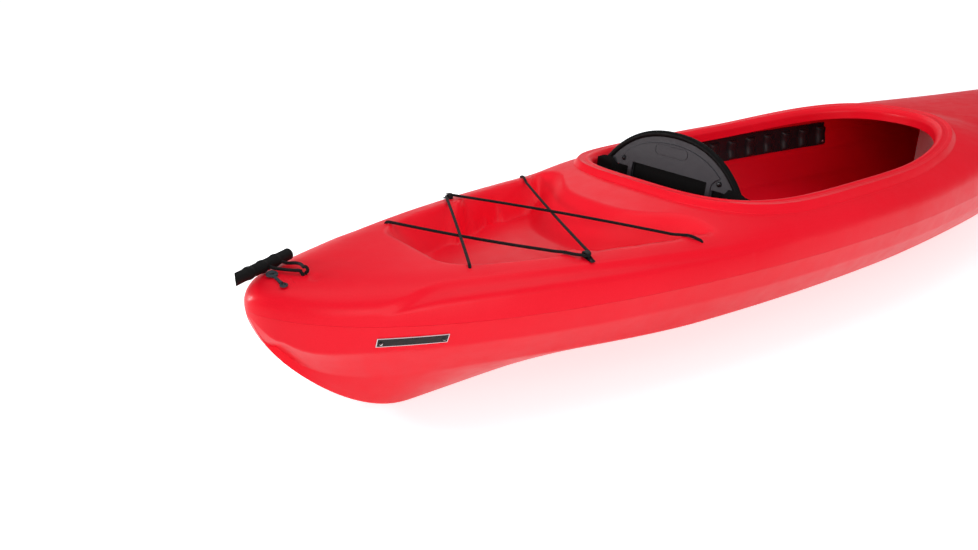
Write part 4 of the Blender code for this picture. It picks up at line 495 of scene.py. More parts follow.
def hull_section(station, share):
    """(y, z) on the hull's outer surface: straight runs between the corners, eased over a short span at
    each."""
    corner_y, corner_z = hull_corners(station)
    knots = np.array([SEAM_SHARE, LINE_SHARE, CHINE_SHARE, KEEL_SHARE, 1.0])
    y = np.zeros_like(station)
    z = np.zeros_like(station)
    shifts = np.linspace(-CORNER_EASE, CORNER_EASE, 9)
    room = np.clip(np.minimum(share, 1.0 - share) / CORNER_EASE, 0.0, 1.0)
    for shift in shifts:
        at = np.clip(share + shift * room, 0.0, 1.0)
        run = np.clip(np.searchsorted(knots, at, side="right") - 1, 0, 3)
        part = (at - knots[run]) / (knots[run + 1] - knots[run])
        for mean, corner in ((y, corner_y), (z, corner_z)):
            low = np.take_along_axis(corner, run[None], 0)[0]
            high = np.take_along_axis(corner, run[None] + 1, 0)[0]
            mean += (low + (high - low) * part) / len(shifts)
    return y, z


def x_of(station):
    """World x of a station."""
    return station - LENGTH / 2


def world(station, y, z):
    """World points from stations, y and z."""
    station, y, z = np.broadcast_arrays(np.asarray(station, float), y, z)
    return np.stack([x_of(station), y, z], -1)


# Mesh helpers


def lattice(rows, columns, ring=False):
    """Quads of a grid of points kept row by row; with ring, the last column joins the first."""
    row = np.arange(rows - 1)[:, None]
    column = np.arange(columns if ring else columns - 1)[None, :]
    after = (column + 1) % columns
    low, high = row * columns, (row + 1) * columns
    corners = (low + column, high + column, high + after, low + after)
    return np.stack(np.broadcast_arrays(*corners), -1).reshape(-1, 4)


def weld(points, quads):
    """Merges points that lie together; quads that lose a corner become triangles."""
    keys = np.round(points * 1e7).astype(np.int64)
    _, first, inverse = np.unique(keys, axis=0, return_index=True, return_inverse=True)
    quads = inverse.reshape(-1)[quads]
    twice = quads == np.roll(quads, 1, axis=1)
    lost = twice.sum(axis=1)
    thin = quads[lost == 1][~twice[lost == 1]].reshape(-1, 3)
    return points[first], [quads[lost == 0], thin], first


def walled(upper, lower):
    """A closed wall between two lists of matching grids, joined round their free edges."""
    quads = []
    start = 0
    for patch in upper:
        quads.append(start + lattice(*patch.shape[:2]))
        start += patch.shape[0] * patch.shape[1]
    whole = np.concatenate([patch.reshape(-1, 3) for patch in upper])
    points, faces, first = weld(whole, np.concatenate(quads))
    count = len(points)
    edges = np.concatenate([np.stack([f, np.roll(f, -1, axis=1)], -1).reshape(-1, 2) for f in faces])
    code = edges[:, 0] * count + edges[:, 1]
    edge = edges[~np.isin(code, edges[:, 1] * count + edges[:, 0])]
    under = np.concatenate([patch.reshape(-1, 3) for patch in lower])[first]
    sides = np.stack([edge[:, 1], edge[:, 0], edge[:, 0] + count, edge[:, 1] + count], 1)
    return np.concatenate([points, under]), faces + [f[:, ::-1] + count for f in faces] + [sides]


def outward(points, faces):
    """The faces, all turned over if the solid's volume comes out negative."""
    volume = 0.0
    for group in faces:
        for k in range(1, group.shape[1] - 1):
            across = np.cross(points[group[:, k]], points[group[:, k + 1]])
            volume += np.einsum("ij,ij->", points[group[:, 0]], across)
    return faces if volume > 0 else [f[:, ::-1] for f in faces]


def mesh_of(name, points, faces):
    """A mesh from points and groups of faces."""
    data = bpy.data.meshes.new(name)
    data.from_pydata(points.tolist(), [], [face for group in faces for face in group.tolist()])
    return data


def spots_of(data):
    """A mesh's points as one array."""
    spots = np.zeros(len(data.vertices) * 3)
    data.vertices.foreach_get("co", spots)
    return spots.reshape(-1, 3)


def move_spots(data, spots):
    """Puts a mesh's points at new places."""
    data.vertices.foreach_set("co", spots.astype(np.float32).ravel())
    data.update()


def keep_shape(made):
    """Keeps a piece's mesh as its modifiers leave it, and drops them."""
    shape = bpy.data.meshes.new_from_object(made.evaluated_get(bpy.context.evaluated_depsgraph_get()))
    made.modifiers.clear()
    old = made.data
    made.data = shape
    bpy.data.meshes.remove(old)


def piece(name, points, faces, look, body, nodes=(), slot=None, smooth=35, uv=None):
    """A mesh piece on a body. Faces shade smooth under the angle; points on a UV's seam are merged."""
    data = mesh_of(name, points, outward(points, faces))
    if uv is not None:
        corner = np.zeros(len(data.loops), np.int32)
        data.loops.foreach_get("vertex_index", corner)
        data.uv_layers.new(name="weave").data.foreach_set("uv", uv[corner].astype(np.float32).ravel())
        shape = bmesh.new()
        shape.from_mesh(data)
        bmesh.ops.remove_doubles(shape, verts=shape.verts, dist=1e-6)
        shape.to_mesh(data)
        shape.free()
    data.shade_smooth()
    if smooth < 180:
        data.set_sharp_from_angle(angle=math.radians(smooth))
    made = bpy.data.objects.new(name, data)
    bpy.context.scene.collection.objects.link(made)
    data.materials.append(look)
    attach(made, body)
    if nodes:
        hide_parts(*nodes)
    return made


def unit(vector):
    """A vector at length 1."""
    return vector / np.linalg.norm(vector)


def run_of(path):
    """Distance along a path at each of its points."""
    return np.concatenate([[0.0], np.cumsum(np.linalg.norm(np.diff(path, axis=0), axis=1))])


def frame_of(point, normal, along):
    """A 4 x 4 matrix at a point: Z on the normal, X as near to `along` as it can be."""
    up = unit(np.asarray(normal, float))
    side = unit(np.cross(up, along))
    matrix = np.eye(4)
    matrix[:3, 0] = np.cross(side, up)
    matrix[:3, 1] = side
    matrix[:3, 2] = up
    matrix[:3, 3] = point
    return matrix


def placed(points, matrix):
    """Points moved by a 4 x 4 matrix."""
    return np.asarray(points, float) @ matrix[:3, :3].T + matrix[:3, 3]


def rings_along(path, sides, radius):
    """Rings round a path, each frame carried from the last without twist; the last column repeats the
    first."""
    tangent = np.gradient(path, axis=0)
    tangent = tangent / np.linalg.norm(tangent, axis=1, keepdims=True)
    guide = UP if abs(tangent[0, 2]) < 0.9 else np.array([1.0, 0.0, 0.0])
    carried = []
    for direction in tangent:
        guide = unit(guide - direction * (guide @ direction))
        carried.append(guide)
    first = np.array(carried)[:, None]
    second = np.cross(tangent, np.array(carried))[:, None]
    turn = np.linspace(0.0, 2.0 * np.pi, sides + 1)[None, :, None]
    return path[:, None] + radius[:, None, None] * (np.cos(turn) * first + np.sin(turn) * second)


def tube(name, path, sides, radius, look, body, nodes=(), slot=None):
    """A closed round tube: circles carried along the path, each end drawn in over a half ellipse."""
    path = np.asarray(path, float)
    width = np.full(len(path), float(radius)) if np.isscalar(radius) else np.asarray(radius, float)
    bend = np.array([1e-4, 0.5, 0.87])
    reach = 0.6 * np.sqrt(1.0 - bend**2)
    before = path[0] + unit(path[0] - path[1]) * width[0] * reach[:, None]
    after = path[-1] + unit(path[-1] - path[-2]) * width[-1] * reach[::-1, None]
    whole = np.concatenate([before, path, after])
    widths = np.concatenate([width[0] * bend, width, width[-1] * bend[::-1]])
    widths[[0, -1]] = 0.0
    rings = rings_along(whole, sides, widths)
    uv = np.stack(np.broadcast_arrays(run_of(whole)[:, None], np.linspace(0.0, 1.0, sides + 1)[None, :]), -1)
    quads = lattice(*rings.shape[:2])
    points = rings.reshape(-1, 3)
    return piece(name, points, [quads], look, body, nodes, slot, 180, uv.reshape(-1, 2))


def smooth_path(points, spacing):
    """A Catmull-Rom curve through the points, taken again at even spacing along its length."""
    points = np.asarray(points, float)
    ends = np.concatenate([[2 * points[0] - points[1]], points, [2 * points[-1] - points[-2]]])
    t = np.linspace(0.0, 1.0, 24, endpoint=False)[None, :, None]
    a, b, c, d = (ends[k : len(ends) - 3 + k, None] for k in range(4))
    curve = 0.5 * (2 * b + (c - a) * t + (2 * a - 5 * b + 4 * c - d) * t**2 + (3 * b - a - 3 * c + d) * t**3)
    curve = np.concatenate([curve.reshape(-1, 3), points[-1:]])
    run = run_of(curve)
    at = np.linspace(0.0, run[-1], max(int(run[-1] / spacing), 4) + 1)
    return np.stack([np.interp(at, run, curve[:, k]) for k in range(3)], -1)


def spun(profile, sides, matrix):
    """Points and faces of a (radius, height) profile turned round Z, its poles closed."""
    profile = np.asarray(profile, float)
    turn = 2.0 * np.pi * np.arange(sides) / sides
    radius, height = profile[:, 0, None], profile[:, 1, None]
    ring = np.stack(np.broadcast_arrays(radius * np.cos(turn), radius * np.sin(turn), height), -1)
    points, faces, _ = weld(ring.reshape(-1, 3), lattice(len(profile), sides, ring=True))
    return placed(points, matrix), faces


def rounded(corners, radius, steps=5):
    """A closed 2-D outline, its corners eased by quadratic arcs; radius is one number or one per corner."""
    corners = np.asarray(corners, float)
    radius = np.broadcast_to(np.asarray(radius, float), (len(corners),))[:, None]
    before = np.roll(corners, 1, axis=0) - corners
    after = np.roll(corners, -1, axis=0) - corners
    near = np.minimum(radius, 0.49 * np.linalg.norm(before, axis=1, keepdims=True))
    far = np.minimum(radius, 0.49 * np.linalg.norm(after, axis=1, keepdims=True))
    start = corners + near * before / np.linalg.norm(before, axis=1, keepdims=True)
    end = corners + far * after / np.linalg.norm(after, axis=1, keepdims=True)
    t = np.linspace(0.0, 1.0, steps)[None, :, None]
    curve = (1 - t) ** 2 * start[:, None] + 2 * t * (1 - t) * corners[:, None] + t**2 * end[:, None]
    return curve.reshape(-1, 2)


def slab(outline, low, high, edge=0.0, steps=4):
    """A prism on a counter-clockwise outline, its rims rounded by insetting the outline over a quarter
    circle."""
    outline = np.asarray(outline, float)
    along = np.roll(outline, -1, axis=0) - np.roll(outline, 1, axis=0)
    inward = np.stack([-along[:, 1], along[:, 0]], -1)
    inward = inward / np.maximum(np.linalg.norm(inward, axis=1, keepdims=True), 1e-9)
    turn = np.linspace(0.0, np.pi / 2, steps if edge > 0 else 1)
    insets = np.concatenate([edge * (1 - np.sin(turn)), edge * (1 - np.sin(turn[::-1]))])
    heights = np.concatenate([low + edge * (1 - np.cos(turn)), high - edge * (1 - np.cos(turn[::-1]))])
    rings = outline[None] + inward[None] * insets[:, None, None]
    points = np.concatenate([rings, np.broadcast_to(heights[:, None, None], rings.shape[:2] + (1,))], -1)
    count = len(outline)
    quads = lattice(len(heights), count, ring=True)
    top = (len(heights) - 1) * count + np.arange(count)[None, :]
    return points.reshape(-1, 3), [quads, np.arange(count)[None, :], top[:, ::-1]]


def combined(parts):
    """Several closed (points, faces) as one, each with its faces outward."""
    points = np.concatenate([p for p, _ in parts])
    faces = []
    start = 0
    for some, groups in parts:
        faces += [group + start for group in outward(some, groups)]
        start += len(some)
    return points, faces


def carved(made, cutters, operation="DIFFERENCE"):
    """Cuts closed (points, faces) out of a piece, or adds them to it, and keeps the result as its mesh."""
    helper = bpy.data.objects.new("cutter", mesh_of("cutter", *combined(cutters)))
    bpy.context.scene.collection.objects.link(helper)
    modifier = made.modifiers.new("cut", "BOOLEAN")
    modifier.operation = operation
    modifier.solver = "EXACT"
    modifier.object = helper
    keep_shape(made)
    bpy.data.objects.remove(helper, do_unlink=True)
    return made


def flat_faces(made):
    """Shades a piece's many-sided faces flat, so that its rounded rims don't tint them."""
    corners = np.zeros(len(made.data.polygons), np.int32)
    made.data.polygons.foreach_get("loop_total", corners)
    made.data.polygons.foreach_set("use_smooth", corners <= 4)
    made.data.update()


def rod(point, direction, radius, before, after, sides=24):
    """A cylinder through a point, for a cut."""
    guide = (1.0, 0.0, 0.0) if abs(direction[0]) < 0.9 * np.linalg.norm(direction) else (0.0, 1.0, 0.0)
    profile = [(0.0, -before), (radius, -before), (radius, after), (0.0, after)]
    return spun(profile, sides, frame_of(point, direction, guide))


# Materials: each has its colour, roughness and relief from noise in object coordinates, or from its own UV


def look_of(name, colour, roughness, metallic=0.0):
    """A material whose Principled shader has these values on its own sockets."""
    made = bpy.data.materials.new(name)
    made.use_nodes = True
    shader = made.node_tree.nodes["Principled BSDF"]
    shader.inputs["Base Color"].default_value = (*colour, 1.0)
    shader.inputs["Roughness"].default_value = roughness
    shader.inputs["Metallic"].default_value = metallic
    made.diffuse_color = (*colour, 1.0)
    return made, made.node_tree, shader


def node(tree, kind, inputs=None, **settings):
    """A node of a kind with its settings, its inputs given as values or as sockets to link."""
    made = tree.nodes.new(kind)
    for key, value in settings.items():
        setattr(made, key, value)
    for key, value in (inputs or {}).items():
        if isinstance(value, bpy.types.NodeSocket):
            tree.links.new(value, made.inputs[key])
        else:
            made.inputs[key].default_value = value
    return made


def place_of(tree, scale=(1.0, 1.0, 1.0), turn=(0.0, 0.0, 0.0), uv=False):
    """A piece's object coordinates, or its UV, through a Mapping node."""
    source = node(tree, "ShaderNodeTexCoord").outputs["UV" if uv else "Object"]
    inputs = {"Vector": source, "Scale": scale, "Rotation": turn}
    return node(tree, "ShaderNodeMapping", inputs).outputs["Vector"]


def noise(tree, place, scale, detail=3.0, roughness=0.55):
    """The height of a noise texture."""
    inputs = {"Vector": place, "Scale": scale, "Detail": detail, "Roughness": roughness}
    return node(tree, "ShaderNodeTexNoise", inputs).outputs["Fac"]


def spread(tree, value, low, high, start=0.3, end=0.7):
    """Maps a value's start to end onto low to high."""
    inputs = {"Value": value, "From Min": start, "From Max": end, "To Min": low, "To Max": high}
    return node(tree, "ShaderNodeMapRange", inputs).outputs["Result"]


def maths(tree, operation, *values):
    """The result of one arithmetic node."""
    return node(tree, "ShaderNodeMath", dict(enumerate(values)), operation=operation).outputs[0]


def blend_of(tree, share, first, second):
    """Mixes two colours, or two colour sockets, by a share."""
    made = node(tree, "ShaderNodeMix", data_type="RGBA")
    tree.links.new(share, made.inputs[0])
    for index, value in ((6, first), (7, second)):
        if isinstance(value, bpy.types.NodeSocket):
            tree.links.new(value, made.inputs[index])
        else:
            made.inputs[index].default_value = (*value, 1.0)
    return made.outputs[2]


def relief(tree, shader, *layers):
    """Chains bumps, each (height, strength, distance), into the shader's normal."""
    normal = None
    for height, strength, distance in layers:
        inputs = {"Height": height, "Strength": strength, "Distance": distance}
        if normal is not None:
            inputs["Normal"] = normal
        normal = node(tree, "ShaderNodeBump", inputs).outputs["Normal"]
    tree.links.new(normal, shader.inputs["Normal"])


def moulded(name, light, dark, roughness, grain, depth, metallic=0.0, cloud=3.0, shine=0.2):
    """Moulded plastic or rubber: clouded colour, uneven gloss, a fine grain and a slow waviness."""
    made, tree, shader = look_of(name, light, roughness, metallic)
    place = place_of(tree)
    clouds = noise(tree, place, cloud, 2.0)
    speck = noise(tree, place, grain, 2.0)
    mixed = maths(tree, "ADD", clouds, spread(tree, speck, -0.12, 0.12))
    tree.links.new(blend_of(tree, spread(tree, mixed, 0.0, 1.0), dark, light), shader.inputs["Base Color"])
    rough = spread(tree, noise(tree, place, 0.25 * grain, 3.0), 0.85 * roughness, 1.18 * roughness)
    tree.links.new(rough, shader.inputs["Roughness"])
    shader.inputs["Specular IOR Level"].default_value = shine
    wave = noise(tree, place, 5.0 * cloud, 1.0)
    relief(tree, shader, (wave, 0.25, 0.004), (speck, 0.35, depth))
    return made


def braided(name, light, dark, pitch, turns):
    """Braided sheath on a tube's own UV (metres along, turns round): two sets of slanting, crossing yarns."""
    made, tree, shader = look_of(name, light, 0.75)
    source = node(tree, "ShaderNodeTexCoord").outputs["UV"]
    parts = node(tree, "ShaderNodeSeparateXYZ", {"Vector": source})
    along = maths(tree, "MULTIPLY", parts.outputs["X"], 2.0 * math.pi / pitch)
    round_it = maths(tree, "MULTIPLY", parts.outputs["Y"], 2.0 * math.pi * turns)
    waves = []
    for operation in ("ADD", "SUBTRACT"):
        waves.append(maths(tree, "SINE", maths(tree, operation, along, round_it)))
    both = maths(tree, "MULTIPLY", waves[0], waves[1])
    height = spread(tree, both, 0.0, 1.0, -1.0, 1.0)
    fuzz = noise(tree, place_of(tree), 900.0, 2.0)
    # Colour follows the braid's height: darker where the yarns dip, as painted shade in the braid's hollows,
    # with random fuzz on top.
    hollow_shade_and_fuzz = maths(tree, "ADD", height, spread(tree, fuzz, -0.25, 0.25))
    tree.links.new(blend_of(tree, hollow_shade_and_fuzz, dark, light), shader.inputs["Base Color"])
    tree.links.new(spread(tree, height, 0.9, 0.65, 0.0, 1.0), shader.inputs["Roughness"])
    shader.inputs["Sheen Weight"].default_value = 0.05
    shader.inputs["Specular IOR Level"].default_value = 0.2
    relief(tree, shader, (height, 0.8, 0.0005), (fuzz, 0.4, 0.0002))
    return made


def woven(name, light, dark, pitch, turn=(0.0, 0.0, 0.0), axes=("X", "Y"), rough=0.92, sheen=0.25):
    """Plain weave in object coordinates: threads from two crossed waves, with slubs and fuzz."""
    made, tree, shader = look_of(name, light, rough)
    place = place_of(tree, turn=turn)
    parts = node(tree, "ShaderNodeSeparateXYZ", {"Vector": place})
    waves = []
    for axis in axes:
        angle = maths(tree, "MULTIPLY", parts.outputs[axis], math.pi / pitch)
        waves.append(maths(tree, "SINE", angle))
    over = maths(tree, "MULTIPLY", waves[0], waves[1])
    height = spread(tree, over, 0.0, 1.0, -1.0, 1.0)
    slub = noise(tree, place, 160.0, 3.0)
    fuzz = noise(tree, place, 1300.0, 2.0)
    # Colour follows the weave's height: darker where the threads dip, as painted shade between them; the slubs
    # add random tone.
    mixed = maths(tree, "ADD", height, spread(tree, slub, -0.35, 0.35))
    tree.links.new(blend_of(tree, mixed, dark, light), shader.inputs["Base Color"])
    tree.links.new(spread(tree, slub, 0.92 * rough, min(1.08 * rough, 1.0)), shader.inputs["Roughness"])
    shader.inputs["Sheen Weight"].default_value = sheen
    shader.inputs["Specular IOR Level"].default_value = 0.2
    relief(tree, shader, (height, 0.6, 0.0004), (fuzz, 0.4, 0.0002))
    return made


def shell_plastic():
    """Moulded polyethylene: red with slow clouds, a fine grain, soft waviness and faint handling scuffs."""
    made, tree, shader = look_of("shell_red", (0.83, 0.028, 0.045), 0.36)
    place = place_of(tree)
    clouds = noise(tree, place, 2.2, 3.0)
    speck = noise(tree, place, 420.0, 2.0)
    scuff = noise(tree, place_of(tree, (6.0, 60.0, 40.0), (0.0, 0.0, 0.5)), 3.0, 5.0, 0.7)
    mixed = maths(tree, "ADD", clouds, spread(tree, speck, -0.10, 0.10))
    colour = blend_of(tree, spread(tree, mixed, 0.0, 1.0), (0.90, 0.003, 0.016), (0.96, 0.006, 0.023))
    tree.links.new(colour, shader.inputs["Base Color"])
    gloss = spread(tree, noise(tree, place, 30.0, 4.0), 0.32, 0.41)
    worn = maths(tree, "ADD", gloss, spread(tree, scuff, 0.0, 0.07, 0.6, 0.75))
    tree.links.new(worn, shader.inputs["Roughness"])
    shader.inputs["Specular IOR Level"].default_value = 0.18
    wave = noise(tree, place, 9.0, 2.0)
    peel = noise(tree, place, 240.0, 2.0)
    relief(tree, shader, (wave, 0.35, 0.006), (peel, 0.25, 0.0004), (speck, 0.15, 0.0002))
    return made


# Camera, floor and light


def place_camera():
    """A camera at the photograph's place and angle."""
    data = bpy.data.cameras.new("camera")
    data.sensor_width = CAMERA_SENSOR
    data.lens = CAMERA_LENS
    data.clip_start = 0.01
    camera = bpy.data.objects.new("camera", data)
    bpy.context.scene.collection.objects.link(camera)
    camera.location = (x_of(CAMERA_STATION), CAMERA_SIDE, CAMERA_HEIGHT)
    camera.rotation_euler = (math.pi / 2 - CAMERA_TILT, 0.0, CAMERA_TURN)
    bpy.context.scene.camera = camera


def lamp(name, spot, target, size, power):
    """A rectangular lamp at a spot, aimed at a target."""
    data = bpy.data.lights.new(name, "AREA")
    data.shape = "RECTANGLE"
    data.size, data.size_y = size
    data.energy = power
    made = bpy.data.objects.new(name, data)
    bpy.context.scene.collection.objects.link(made)
    made.location = spot
    made.rotation_euler = (Vector(target) - Vector(spot)).to_track_quat("-Z", "Y").to_euler()


def place_lights():
    """Soft boxes round the boat, a small key and a pale room. The camera and glass see a white backdrop;
    gloss sees it near the horizon, with a dimmer ceiling above."""
    lamp("overhead", (-0.6, 0.2, 3.2), (-0.6, 0.0, 0.2), (3.4, 2.4), 30)
    lamp("side", (-2.4, -3.6, 1.4), (-0.8, 0.0, 0.25), (2.8, 1.8), 56)
    lamp("far", (1.8, 2.4, 2.0), (-0.2, 0.0, 0.3), (2.6, 1.4), 11)
    lamp("key", (-3.5, 2.3, 1.0), (-1.4, 0.0, 0.25), (0.7, 0.7), 46)
    surroundings = bpy.data.worlds.new("room")
    bpy.context.scene.world = surroundings
    surroundings.use_nodes = True
    tree = surroundings.node_tree
    tree.nodes.clear()
    path = node(tree, "ShaderNodeLightPath")
    direction = node(tree, "ShaderNodeTexCoord").outputs["Generated"]
    up = node(tree, "ShaderNodeSeparateXYZ", {"Vector": direction}).outputs["Z"]
    backdrop = spread(tree, up, 1.0, 0.0, -0.02, 0.20)
    gloss = maths(tree, "MULTIPLY", path.outputs["Is Glossy Ray"], backdrop)
    seen = maths(tree, "MAXIMUM", path.outputs["Is Camera Ray"], gloss)
    seen = maths(tree, "MAXIMUM", seen, path.outputs["Is Transmission Ray"])
    ceiling = spread(tree, path.outputs["Is Glossy Ray"], 0.50, 0.10, 0.0, 1.0)
    room = node(tree, "ShaderNodeBackground", {"Color": (0.94, 0.96, 1.0, 1.0), "Strength": ceiling})
    white = node(tree, "ShaderNodeBackground", {"Color": (1.0, 1.0, 1.0, 1.0), "Strength": 1.0})
    mixed = node(tree, "ShaderNodeMixShader", {0: seen, 1: room.outputs[0], 2: white.outputs[0]})
    end = node(tree, "ShaderNodeOutputWorld")
    tree.links.new(mixed.outputs[0], end.inputs["Surface"])


def place_floor():
    """A plain pale floor with the boat's shadow, lifted towards white by a glow for camera, gloss and
    glass."""
    corners = FLOOR_HALF * np.array([(-1.0, -1.0, 0.0), (1.0, -1.0, 0.0), (1.0, 1.0, 0.0), (-1.0, 1.0, 0.0)])
    data = mesh_of("floor", corners - UP * FLOOR_DROP, [np.array([[0, 1, 2, 3]])])
    floor = bpy.data.objects.new("floor", data)
    bpy.context.scene.collection.objects.link(floor)
    made, tree, shader = look_of("floor_white", (0.90, 0.90, 0.90), 0.9)
    path = node(tree, "ShaderNodeLightPath")
    grain = noise(tree, place_of(tree), 2.0, 2.0)
    tree.links.new(blend_of(tree, grain, (0.89, 0.89, 0.89), (0.91, 0.91, 0.91)), shader.inputs["Base Color"])
    seen = maths(tree, "MAXIMUM", path.outputs["Is Camera Ray"], path.outputs["Is Glossy Ray"])
    seen = maths(tree, "MAXIMUM", seen, path.outputs["Is Transmission Ray"])
    glow = maths(tree, "MULTIPLY", seen, FLOOR_GLOW)
    light = node(tree, "ShaderNodeEmission", {"Color": (1.0, 1.0, 1.0, 1.0), "Strength": glow})
    both = node(tree, "ShaderNodeAddShader", {0: shader.outputs[0], 1: light.outputs[0]})
    tree.links.new(both.outputs[0], tree.nodes["Material Output"].inputs["Surface"])
    data.materials.append(made)


# Shell


def tip_shift(station):
    """How far the inner surface moves from each tip, so that the wall keeps its thickness round the nose."""
    stern = 1.0 - smoothstep(0.0, 0.05, station)
    bow = 1.0 - smoothstep(0.0, 0.05, LENGTH - station)
    return WALL * (stern - bow)


def shell_stations(spacing):
    """Stations from tip to tip: close together round each nose."""
    nose = np.append(NOSE_STATIONS, 0.095)
    middle = np.arange(0.108, LENGTH - 0.103, spacing)
    return np.concatenate([nose, middle, LENGTH - nose[::-1]])


def hull_wall_points(station, share):
    """(y, z) of the hull's inner surface: its outer one drawn towards the seam's middle by the wall."""
    y, z = hull_section(station, share)
    top = seam_height(station)
    depth = np.maximum(top - rocker(station), 2.5 * WALL)
    inner_y = y * (1.0 - WALL / np.maximum(half_beam(station), 2.5 * WALL))
    return inner_y, top - (top - z) * (1.0 - WALL / depth)


def build_hull(looks):
    """The hull as a closed wall: sections of eased corners carried from tip to tip."""
    even = np.linspace(0.0, 1.0, 45)
    close = np.linspace(-CORNER_EASE, CORNER_EASE, 5)
    corners = [corner + close for corner in (LINE_SHARE, CHINE_SHARE, KEEL_SHARE)]
    shares = np.unique(np.round(np.concatenate([even] + corners), 4))
    station, share = np.meshgrid(shell_stations(0.012), shares, indexing="ij")
    y, z = hull_section(station, share)
    inner_y, inner_z = hull_wall_points(station, share)
    outer, inner = [], []
    for side, step in ((1.0, 1), (-1.0, -1)):
        outer.append(world(station, side * y, z - FIT_GAP / 2)[:, ::step])
        inner.append(world(station + tip_shift(station), side * inner_y, inner_z - FIT_GAP / 2)[:, ::step])
    for patch in outer + inner:
        patch[..., 2] = np.where(np.abs(patch[..., 2]) < FIT_GAP, 0.0, patch[..., 2])
    return piece("hull_shell", *walled(outer, inner), looks["shell"], "kayak", ["hull"], "shell", 50)


def dressed_well(station, y):
    """The well's share with its fine forms: creases that lean aft down the walls, broader corners,
    pockets."""
    half = well_half(station)
    down = np.maximum(half - np.abs(y), 0.0)
    for centre, lean in ((HOOK_STATION, 0.8), (CORD_FORE_STATION, 0.3)):
        half = half + GUSSET_PINCH * np.exp(-(((station - centre) / GUSSET_WIDTH) ** 2))
        off = (station - centre + lean * down) / (1.1 * GUSSET_WIDTH)
        half = half - 1.3 * GUSSET_PINCH * np.exp(-(np.abs(off) ** 1.4))
    side = (half - np.abs(y) - 0.004 * (1.0 - smoothstep(0.33, 0.50, station))) / WELL_SIDE_RUN
    push = smoothstep(0.585, 0.640, station) * (1.0 - smoothstep(0.674, 0.686, station))
    side = side + 0.42 * push * smoothstep(0.30, 0.70, side)
    aft = (station - WELL_AFT) / WELL_AFT_RUN
    fore = (well_front(y) - station) / WELL_FORE_RUN
    return soft_ramp(soft_min(soft_min(side, aft, 1.05), fore, 0.35), 0.09)


def dressed_height(station, y):
    """Height of the deck's upper surface with its fine forms: beads and a groove round the coaming, the
    well's creases and pockets, and the lip and dent beside the stern handle's cord."""
    height = plain_deck(station, y)
    height = height + (WELL_FLOOR - height) * dressed_well(station, y)
    distance = opening_distance(station, y)
    for middle, width, rise in COAMING_BEADS:
        height = height + rise * np.exp(-(((distance - middle) / width) ** 2))
    dent_along = (station - DENT_PLACE[0]) / DENT_HALF[0]
    dent_across = (y - DENT_PLACE[1]) / DENT_HALF[1]
    dent = np.exp(-((dent_along**2 + dent_across**2) ** 1.5))
    lip_along = (station - LIP_PLACE[0]) / LIP_HALF[0]
    lip_across = (y - LIP_PLACE[1]) / LIP_HALF[1]
    lip = np.exp(-(lip_along**2)) * np.exp(-(lip_across**6))
    return height - DENT_DEPTH * dent + LIP_RISE * lip


def deck_drop(station, y):
    """How far the deck's underside lies below its upper surface: more on slopes, nothing on the seam."""
    step = 1e-4
    slope_along = (deck_height(station + step, y) - deck_height(station - step, y)) / (2.0 * step)
    slope_across = (deck_height(station, y + step) - deck_height(station, y - step)) / (2.0 * step)
    slope = np.minimum(np.hypot(slope_along, slope_across), 1.5)
    share = np.clip(np.abs(y) / np.maximum(half_beam(station), 1e-6), 0.0, 1.0)
    return np.minimum(WALL * np.sqrt(1.0 + slope**2) * (1.0 - share**24), 0.6 * crown_rise(station))


def under_deck(station, y, z):
    """The underside's points for points of the upper surface."""
    beam = np.maximum(half_beam(station), 1e-6)
    share = np.clip(np.abs(y) / beam, 0.0, 1.0)
    power = 2.0 + 10.0 * smoothstep(0.02, 0.15, beam)
    inward = np.minimum(WALL, 0.4 * beam) * share**power
    return world(station + tip_shift(station), y - np.sign(y) * inward, z - deck_drop(station, y))


def mirrored(half_rows):
    """Rows of y from the starboard seam to the port one, from rows that go from the middle out."""
    return np.concatenate([-half_rows[:, ::-1], half_rows[:, 1:]], axis=1)


def stern_columns(station, share):
    """y of the stern deck: shares 0 to 1 the well's floor, to 2 its wall, to 3 the ledge, to 4 the
    shoulder."""
    half = half_beam(station)
    wall = np.minimum(well_half(station), 0.62 * half)
    run = np.minimum(WELL_SIDE_RUN, 0.45 * wall)
    marks = [0.0 * half, wall - run, wall, np.minimum(crease_share(station), 0.88) * half, half]
    return sum((marks[k + 1] - marks[k]) * np.clip(share - k, 0.0, 1.0) for k in range(4))


def stern_grid(rows, shares):
    """Stations and y of the stern deck's grid: its rows bend with the well's front lip as they near it."""
    bend = smoothstep(0.50, WELL_FORE - WELL_FORE_RUN, rows)[:, None]
    station = np.repeat(rows[:, None], len(shares), 1)
    for _ in range(BEND_ROUNDS):
        y = stern_columns(station, shares[None, :])
        station = rows[:, None] + bend * front_shift(y)
    y = stern_columns(station, shares[None, :])
    station = rows[:, None] + bend * front_shift(y)
    return np.concatenate([station[:, ::-1], station[:, 1:]], axis=1), mirrored(y)


def opening_point(turn):
    """A point on the opening's edge; turn 0 is the aft middle, a half turn the front."""
    cosine = np.cos(turn)
    sine = np.sin(turn)
    aft = cosine > 0
    power = np.where(aft, OPENING_AFT_POWER, OPENING_FORE_POWER)
    reach = np.where(aft, OPENING_WIDE - OPENING_AFT, OPENING_FORE - OPENING_WIDE)
    station = OPENING_WIDE - np.sign(cosine) * reach * np.abs(cosine) ** (2.0 / power)
    return station, OPENING_HALF * np.sign(sine) * np.abs(sine) ** (2.0 / power)


def offset_edge(station, y, distance):
    """Moves points of the opening's edge outwards by a distance, along the edge's normal."""
    step = 1e-5
    slope_station = opening_distance(station + step, y) - opening_distance(station - step, y)
    slope_y = opening_distance(station, y + step) - opening_distance(station, y - step)
    size = np.maximum(np.hypot(slope_station, slope_y), 1e-12)
    return station + distance * slope_station / size, y + distance * slope_y / size


def border_turns(row, half, power):
    """Turns round the opening for a row of the border, spread by each point's share of the row."""
    share = row / row[-1]
    return np.sign(share) * np.arcsin((np.abs(share) * half / OPENING_HALF) ** (power / 2))


